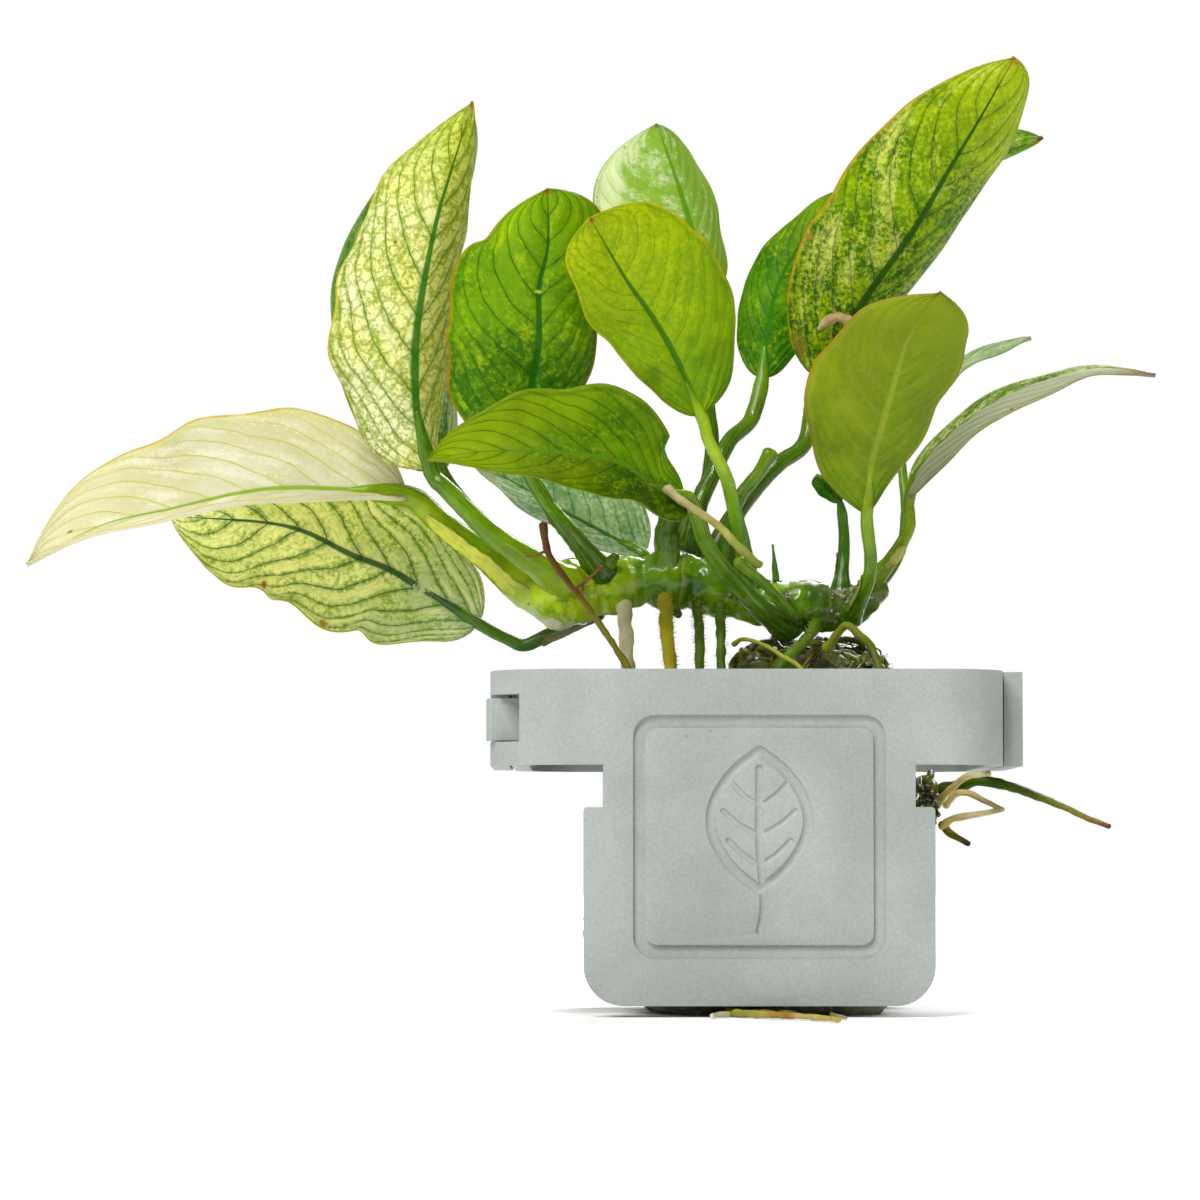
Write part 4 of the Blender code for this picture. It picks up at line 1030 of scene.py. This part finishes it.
def plate_outline():
    low = arc(PLATE_CORNER - PLATE_HALF_WIDTH, PLATE_LOW + PLATE_CORNER, PLATE_CORNER, 180, 270)
    low += arc(PLATE_HALF_WIDTH - PLATE_CORNER, PLATE_LOW + PLATE_CORNER, PLATE_CORNER, 270, 360)
    edge = PLATE_HALF_WIDTH - SHOULDER_CORNER
    height = PLATE_TOP - SHOULDER_CORNER
    neck_top = COLLAR_LOW + 1.0
    right = arc(edge, height, SHOULDER_CORNER, 0, 90, 4)
    left = arc(-edge, height, SHOULDER_CORNER, 90, 180, 4)
    neck = [(NECK_HALF_WIDTH, PLATE_TOP), (NECK_HALF_WIDTH, neck_top)]
    return low + right + neck + [(-x, z) for x, z in reversed(neck)] + left


def emblem_strokes():
    """A plain pointed leaf with a stalk and side veins: (points, half width) of each groove."""
    strokes = []
    for side in (-1, 1):
        shares = [index / 8 for index in range(9)]
        edge = [(side * 5.6 * math.sin(math.pi * share) ** 0.8, 14.6 + 16.0 * share) for share in shares]
        strokes.append((edge, 0.62))
        for height, reach in ((17.6, 3.6), (21.0, 4.2), (24.4, 3.4)):
            vein = [(side * 0.3, height), (side * reach * 0.55, height + 1.1), (side * reach, height + 2.7)]
            strokes.append((vein, 0.34))
    strokes.append(([(0, 9.8), (0.5, 13), (0, 20), (0, 28.6)], 0.5))
    return strokes


def groove_form(name, points, half_width):
    """A flattened tube that cuts a round-bottomed groove in the plate's face."""
    line = even_line([(x, -HALF_DEPTH, z) for x, z in points], GROOVE_STEPS)
    spots, faces, _ = tube_data(line, [half_width] * (GROOVE_STEPS + 1), 12)
    for spot in spots:
        spot.y = -HALF_DEPTH + (spot.y + HALF_DEPTH) * 0.62
    return finish_mesh(name, spots, faces)


def make_holder():
    """Both moulded halves with softened edges, the rear one turned half a turn."""
    band = flat_solid("front_half_moulded", band_outline(), COLLAR_LOW, COLLAR_TOP)
    plate = flat_solid("plate_form", plate_outline(), -HALF_DEPTH, PLATE_WALL - HALF_DEPTH, True)
    hook = flat_solid("hook_form", hook_outline(), HOOK_LOW, HOOK_TOP)
    outside = -OUTER_X - 3
    back = OUTER_CORNER - HALF_DEPTH + 1.5
    inside = -WINDOW_INNER_X
    outline = [(outside, -HALF_DEPTH), (inside, -HALF_DEPTH), (inside, back), (outside, back)]
    window = flat_solid("window_form", outline, WINDOW_LOW, WINDOW_TOP)
    face_low = -HALF_DEPTH - FRAME_DEPTH
    groove = flat_solid("frame_form", rounded_box(*FRAME_OUTER), face_low, -HALF_DEPTH + FRAME_DEPTH, True)
    core = flat_solid("frame_core", rounded_box(*FRAME_INNER), face_low - 1, 1 - HALF_DEPTH, True)
    combine(groove, core, "DIFFERENCE")
    cuts = [window, groove]
    for number, (points, half_width) in enumerate(emblem_strokes()):
        cuts.append(groove_form("groove_form_%d" % number, points, half_width))
    for form in (plate, hook):
        combine(band, form, "UNION")
    for form in cuts:
        combine(band, form, "DIFFERENCE")
    soften = band.modifiers.new("soften", "BEVEL")
    soften.width = EDGE_ROUND * MM
    soften.segments = 3
    soften.limit_method = "ANGLE"
    soften.angle_limit = math.radians(38)
    seen = band.evaluated_get(bpy.context.evaluated_depsgraph_get())
    mesh = bpy.data.meshes.new_from_object(seen)
    band.modifiers.clear()
    band.data = mesh
    for form in (plate, hook, core, *cuts):
        bpy.data.objects.remove(form)
    mesh.shade_smooth()
    mesh.set_sharp_from_angle(angle=math.radians(32))
    mesh.materials.clear()
    rear_mesh = mesh.copy()
    rear_mesh.transform(Matrix.Rotation(math.pi, 4, "Z"))
    surface = plastic_material()
    show(band, surface, "front_shell")
    show(add_object("rear_half_moulded", rear_mesh), surface, "rear_shell")


def plastic_material():
    """Grey-green moulded plastic, finely speckled, with a few dark specks and damp marks."""
    tree = Tree("moulded_plastic")
    place = tree.place()
    tree.colour = tree.mix(tree.noise_step(70.0, 4.0, 0.5, 0.35, 0.7), "8f958f", "9ba19c")
    grain = tree.noise(place, 2600.0, 3.0, 0.7)
    tree.shade(tree.step(grain, 0.35, 0.7, 0.93, 1.06))
    specks = tree.step(tree.cells(place, 420.0), 0.045, 0.11, 1.0, 0.0)
    tree.paint(specks * tree.noise_step(120.0, 1.0, 0.55, 0.62, 0.7) * 0.75, "4c483c")
    damp = tree.noise_step(300.0, 3.0, 0.6, 0.66, 0.72)
    tree.paint(damp * 0.18, "828a82")
    rough = tree.noise_step(500.0, 4.0, 0.55, 0.35, 0.7, 0.52, 0.66) - damp * 0.22
    return tree.surface(rough, tree.bump(grain + tree.noise(place, 320.0, 3.0) * 0.6, 0.00008, 0.7))


# ---------------------------------------------------------------- stone and litter


def lumpy_form(centre, half, power, detail, roughness, fine):
    """The stone's or clump's surface: the CAD form with finer unevenness added."""
    body = bmesh.new()
    bmesh.ops.create_icosphere(body, subdivisions=detail, radius=1.0)
    for vert in body.verts:
        way = vert.co.normalized()
        size = sum(abs(part) ** power for part in way) ** (-1 / power)
        size *= 1 + roughness * noise.noise(way * 1.7 + Vector(centre))
        for scale, share in fine:
            size += share * (noise.noise(way * scale + Vector((5, 1, 2))) - 0.25)
        vert.co = Vector([c + h * w * size for c, h, w in zip(centre, half, way)]) * MM
    return body


def make_stone():
    """The pitted stone, clear of both plates and flat where it stands."""
    fine = ((4, 0.035), (9, 0.022), (22, 0.014), (48, 0.007))
    body = lumpy_form(STONE_CENTRE, STONE_HALF, STONE_POWER, 6, 0.12, fine)
    limit = (HALF_DEPTH - PLATE_WALL - GAP) * MM
    for vert in body.verts:
        vert.co.y = max(-limit, min(limit, vert.co.y))
    whole = body.verts[:] + body.edges[:] + body.faces[:]
    bmesh.ops.bisect_plane(body, geom=whole, plane_co=(0, 0, 0), plane_no=(0, 0, 1), clear_inner=True)
    bmesh.ops.contextual_create(body, geom=[edge for edge in body.edges if edge.is_boundary])
    bmesh.ops.recalc_face_normals(body, faces=body.faces)
    show(solid_from(body, "stone_weathered"), stone_material(), "stone")


def stone_material():
    """Taupe-grey stone with pale grains, dark pits and a thin green film."""
    tree = Tree("wet_stone")
    place = tree.place()
    tree.colour = tree.mix(tree.noise_step(90.0, 6.0, 0.6, 0.35, 0.68), "565046", "9c9686")
    tree.paint(tree.step(tree.cells(place, 900.0), 0.12, 0.3, 1.0, 0.0) * 0.45, "c4beac")
    tree.paint(tree.noise_step(520.0, 5.0, 0.7, 0.6, 0.72) * 0.7, "302c26")
    tree.paint(tree.noise_step(160.0, 5.0, 0.65, 0.52, 0.66) * 0.5, "4a5424")
    normal = tree.bump(tree.noise(place, 420.0, 8.0, 0.7) + tree.cells(place, 700.0) * 0.5, 0.0008, 0.8)
    return tree.surface(tree.noise_step(220.0, 4.0, 0.55, 0.35, 0.7, 0.4, 0.8), normal)


def stone_top(x, y):
    """The height of the stone's upper skin at a place seen from above."""
    far = sum((abs(part - c) / h) ** STONE_POWER for part, c, h in zip((x, y), STONE_CENTRE, STONE_HALF))
    return STONE_CENTRE[2] + STONE_HALF[2] * max(0.0, 1 - far) ** (1 / STONE_POWER)


def random_way():
    way = Vector((random.gauss(0, 1), random.gauss(0, 1), random.gauss(0, 1)))
    return way.normalized()


def clump_spot(way, share):
    """A place at a share of the way from the clump's middle to its skin."""
    size = sum(abs(part) ** CLUMP_POWER for part in way) ** (-1 / CLUMP_POWER)
    size *= 1 + CLUMP_LUMP * noise.noise(way * 1.7 + Vector(CLUMP_CENTRE))
    return Vector([c + h * w * size * share for c, h, w in zip(CLUMP_CENTRE, CLUMP_HALF, way)])


def make_clump():
    """A dark mass wound about with fine roots, more of which run down to the stone."""
    fine = ((5, 0.12), (11, 0.08), (26, 0.05))
    mass = solid_from(lumpy_form(CLUMP_CENTRE, CLUMP_HALF, CLUMP_POWER, 5, CLUMP_LUMP, fine), "clump_mass")
    show(mass, litter_material("clump_wet", "242406", "6c7010", 0.15), "root_clump")
    pieces = []
    for _ in range(WINDING_ROOTS):
        start = random_way()
        turn = random_way()
        bow = random.uniform(0.5, 1.6)
        ways = [(start + turn * bow * index / 4).normalized() for index in range(5)]
        path = [clump_spot(way, random.uniform(0.92, 1.1)) for way in ways]
        radius = random.choice((0.14, 0.2, 0.28, 0.42))
        pieces.append(strand(path, radius, radius * 0.6, FIBRE_STEPS, 7, 0.3))
    for _ in range(ANCHOR_ROOTS):
        start = clump_spot(Vector((random.uniform(-1, 1), random.uniform(-1, 1), -0.9)).normalized(), 0.85)
        path = [start]
        for share, widen in ((0.5, 1.1), (1.0, 1.25), (1.0, 1.5)):
            x = start.x * widen + random.uniform(-1.4, 1.4)
            y = start.y * widen + random.uniform(-1.4, 1.4)
            path.append(Vector((x, y, start.z + (stone_top(x, y) - 0.3 - start.z) * share)))
        radius = random.choice((0.14, 0.22, 0.34))
        pieces.append(strand(path, radius, radius * 0.5, FIBRE_STEPS, 7, 0.3))
    stops = [(0.0, "748c0c"), (0.3, "a8a820"), (0.5, "5c4410"), (0.7, "8c8c18"), (1.0, "4c6408")]
    surface = stem_material("fine_root_skin", stops, "342814", 0.5, gloss=0.2)
    show(joined("clump_fine_roots", pieces), surface, "root_clump")


def make_side_tuft():
    """Roots packed behind the right edge of the plates, over the stone's shoulder, coloured very dark: partly
    their own wet colour, partly painted shade for the shadow inside the holder there.
    """
    pieces = []
    for _ in range(TUFT_ROOTS):
        path = [TUFT_CENTRE + Vector([half * random.uniform(-1, 1) for half in TUFT_HALF])]
        for _ in range(3):
            step = Vector((random.uniform(-0.6, 0.9), random.uniform(-2.4, 2.4), random.uniform(-1.6, 1.0)))
            path.append(path[-1] + step)
        for place in path:
            place.x = min(place.x, TUFT_CENTRE.x + TUFT_HALF.x)
            place.z = min(place.z, COLLAR_LOW - 0.5)
        radius = random.choice((0.18, 0.26, 0.4, 0.55))
        pieces.append(strand(path, radius, radius * 0.6, 12, 8, 0.4))
    # very dark colours: painted shade for the shadow inside the holder behind the plates, on top of the
    # roots' own wet colour
    stops = [(0.0, "2c3404"), (0.4, "6c6c10"), (0.6, "3c2c08"), (1.0, "54600c")]
    surface = stem_material("side_tuft_painted_shade_skin", stops, "2c2408", 0.6, gloss=0.2)
    show(joined("side_tuft", pieces), surface)


def crumb(centre, size):
    """One small angular crumb: points, faces and shares."""
    body = bmesh.new()
    bmesh.ops.create_icosphere(body, subdivisions=2, radius=1.0)
    points = []
    for vert in body.verts:
        way = vert.co.normalized()
        points.append(centre + way * size * (1 + 0.9 * noise.noise(way * 1.6 + centre * 3.7)))
    body.verts.index_update()
    faces = [tuple(vert.index for vert in face.verts) for face in body.faces]
    body.free()
    return points, faces, [(random.random(), 0.0, 0.0)] * len(points)


def make_crumbs():
    """Grit and bits of old root along the rhizome's top, on its right and over the clump."""
    line = even_line([place for place, _ in RHIZOME], 100)
    pieces = []
    for _ in range(RHIZOME_CRUMBS):
        share = random.triangular(0.5, 1.0, 0.85)
        angle = random.uniform(-1.3, 1.9)
        way = Vector((0, -math.sin(angle), math.cos(angle)))
        spot = line[int(share * 100)] + way * (3.2 - 1.0 * share) * random.uniform(0.92, 1.06)
        pieces.append(crumb(spot, random.uniform(0.1, 0.42)))
    for _ in range(CLUMP_CRUMBS):
        pieces.append(crumb(clump_spot(random_way(), random.uniform(0.95, 1.08)), random.uniform(0.12, 0.5)))
    show(joined("crumbs_and_grit", pieces), litter_material("grit", "2e2a1e", "969274", 0.3))


def hair_data(base, way, length, radius):
    """One root hair: a thin three-sided cone."""
    side = way.cross(Vector((0.2, 0.3, 0.9))).normalized()
    other = way.cross(side)
    points = [base + around(side, other, 2 * math.pi * step / 3) * radius for step in range(3)]
    points.append(base + way * length)
    faces = [(0, 1, 3), (1, 2, 3), (2, 0, 3), (2, 1, 0)]
    return points, faces, [(random.random(), 0.0, 0.0)] * 4


def make_hairs():
    """Fine hairs on the yellow and green roots, and moss fibres on the clump."""
    pieces = []
    for name, many in HAIRY_ROOTS.items():
        points, first, last = STEMS[name]
        line = even_line(points, 80)
        turned = frames(line)
        for _ in range(many):
            index = random.randrange(8, 74)
            tangent, side, other = turned[index]
            way = around(side, other, random.uniform(0, 2 * math.pi))
            way = (way + tangent * random.uniform(-0.3, 0.3)).normalized()
            radius = first + (last - first) * index / 80
            pieces.append(hair_data(line[index] + way * radius * 0.9, way, random.uniform(0.25, 0.8), 0.045))
    stops = [(0.0, "cece6e"), (1.0, "dcd88c")]
    surface = stem_material("root_hair", stops, "96a03c", 0.4, gloss=0.4)
    show(joined("root_hairs", pieces, smooth=False), surface)
    pieces = []
    for _ in range(MOSS_FIBRES):
        way = random_way()
        base = clump_spot(way, random.uniform(0.95, 1.04))
        lean = (way + random_way() * 0.8).normalized()
        pieces.append(hair_data(base, lean, random.uniform(0.3, 1.1), 0.05))
    surface = litter_material("moss", "28380c", "708224", 0.35)
    show(joined("moss_fibres", pieces, smooth=False), surface)


def make_sheaths():
    """Thin dry sheaths wrapped part of the way round the stalks."""
    for name, (stalk, low, high, half_angle, turn, light, dark) in SHEATHS.items():
        points, first, last = STALKS[stalk]
        line = even_line(points, STALK_STEPS)
        turned = frames(line)
        spots = []
        rows = range(int(low * STALK_STEPS), int(high * STALK_STEPS) + 1)
        for layer in (SHEATH_THICKNESS, 0.0):
            for row, index in enumerate(rows):
                share = index / STALK_STEPS
                radius = (first + (last - first) * share) * (1 + 0.45 * share**14)
                end = min(1.0, row / 5, (len(rows) - 1 - row) / 3 + 0.3)
                _, side, other = turned[index]
                for step in range(SHEATH_COLUMNS):
                    out = step / (SHEATH_COLUMNS - 1) * 2 - 1
                    angle = turn + out * half_angle * (0.35 + 0.65 * end)
                    angle += 0.12 * noise.noise(Vector((index * 0.3, step, turn)))
                    curl = 1 + noise.noise(Vector((index * 0.4, step, 3)))
                    lift = 1.07 + 0.16 * abs(out) ** 3 * curl
                    spots.append(line[index] + around(side, other, angle) * (radius * lift + layer))
        size = SHEATH_COLUMNS * len(rows)
        places = [index % size for index in range(len(spots))]
        stem = [(place / size, (place % SHEATH_COLUMNS) / SHEATH_COLUMNS, 0.5) for place in places]
        sheath = two_layers(name, spots, SHEATH_COLUMNS, stem=stem)
        stops = [(0.0, light), (0.6, light), (1.0, dark)]
        show(sheath, stem_material(name + "_skin", stops, dark, 0.5, gloss=0.4))


def make_small_things():
    """Twigs on the brown root, a bud spike on the rhizome and a dry stub on the big right leaf."""
    brown = [(0.0, "784c22"), (0.7, "96642c"), (1.0, "96461e")]
    green = stem_material("bud_spike_skin", [(0.0, "3c7800"), (1.0, "4c6c08")], "94ac30")
    surface = stem_material("twig_skin", brown, "5a3218", 0.4, gloss=0.45)
    for name, (points, first, last) in TWIGS.items():
        twig = joined(name, [strand(points, first, last, 14, 9, 0.4, len(name), flare_end=0.6)])
        show(twig, green if name == "bud_spike" else surface)
    dry = [(0.0, "d6c48c"), (0.6, "c4a05a"), (1.0, "e2cea0")]
    stub = joined("dry_stub", [strand(STUB, 0.35, 0.75, 20, 12, 0.6, len("dry_stub"))])
    show(stub, stem_material("dry_stub_skin", dry, "785028", 0.5, gloss=0.5))


# ---------------------------------------------------------------- the scene


def make_stage():
    """A pale floor, and white surroundings that look brighter to the camera than they light."""
    floor_mesh = bpy.data.meshes.new("floor")
    reach = 3.0
    corners = [(-reach, -reach, 0), (reach, -reach, 0), (reach, reach, 0), (-reach, reach, 0)]
    floor_mesh.from_pydata(corners, [], [(0, 1, 2, 3)])
    floor = add_object("floor", floor_mesh)
    tree = Tree("pale_floor")
    light = tree.noise_step(3.0, 2.0, 0.55, 0.3, 0.7, 0.9, 0.92)
    tree.colour = tree.vector(light, light, light)
    floor_mesh.materials.append(tree.surface(0.9))
    world = bpy.data.worlds.new("studio")
    bpy.context.scene.world = world
    world.use_nodes = True
    nodes = world.node_tree.nodes
    background = nodes["Background"]
    background.inputs[0].default_value = (1.0, 1.0, 1.0, 1.0)
    seen = nodes.new("ShaderNodeLightPath")
    strength = nodes.new("ShaderNodeMapRange")
    strength.inputs["To Min"].default_value = WORLD_LIGHT
    strength.inputs["To Max"].default_value = 1.0
    world.node_tree.links.new(seen.outputs["Is Camera Ray"], strength.inputs["Value"])
    world.node_tree.links.new(strength.outputs[0], background.inputs[1])


def turn_to(thing, place, aim):
    """Stands a lamp or camera at place, looking at aim."""
    thing.location = place
    thing.rotation_euler = (Vector(aim) - Vector(place)).to_track_quat("-Z", "Y").to_euler()


def add_light(name, place, angle, strength):
    """A soft light far away, shining from place towards the middle of the scene."""
    data = bpy.data.lights.new(name, "SUN")
    data.angle = math.radians(angle)
    data.energy = strength
    turn_to(add_object(name, data), place, (0, 0, 0))


def make_camera():
    data = bpy.data.cameras.new("camera")
    data.lens = CAMERA_LENS
    data.sensor_width = 36.0
    camera = add_object("camera", data)
    turn_to(camera, Vector(CAMERA_PLACE) * MM, Vector(CAMERA_AIM) * MM)
    bpy.context.scene.camera = camera


bpy.context.scene.view_settings.view_transform = "Standard"
make_camera()
make_stage()
add_light("key", (-0.45, -0.7, 0.75), 30, 2.6)
add_light("back", (0.3, 0.75, 0.8), 36, 3.4)
add_light("sparkle", (-0.2, -0.55, 0.9), 4, 0.9)
make_holder()
make_stone()
make_rhizome()
make_stems()
make_leaves()
make_clump()
make_side_tuft()
make_crumbs()
make_hairs()
make_sheaths()
make_small_things()
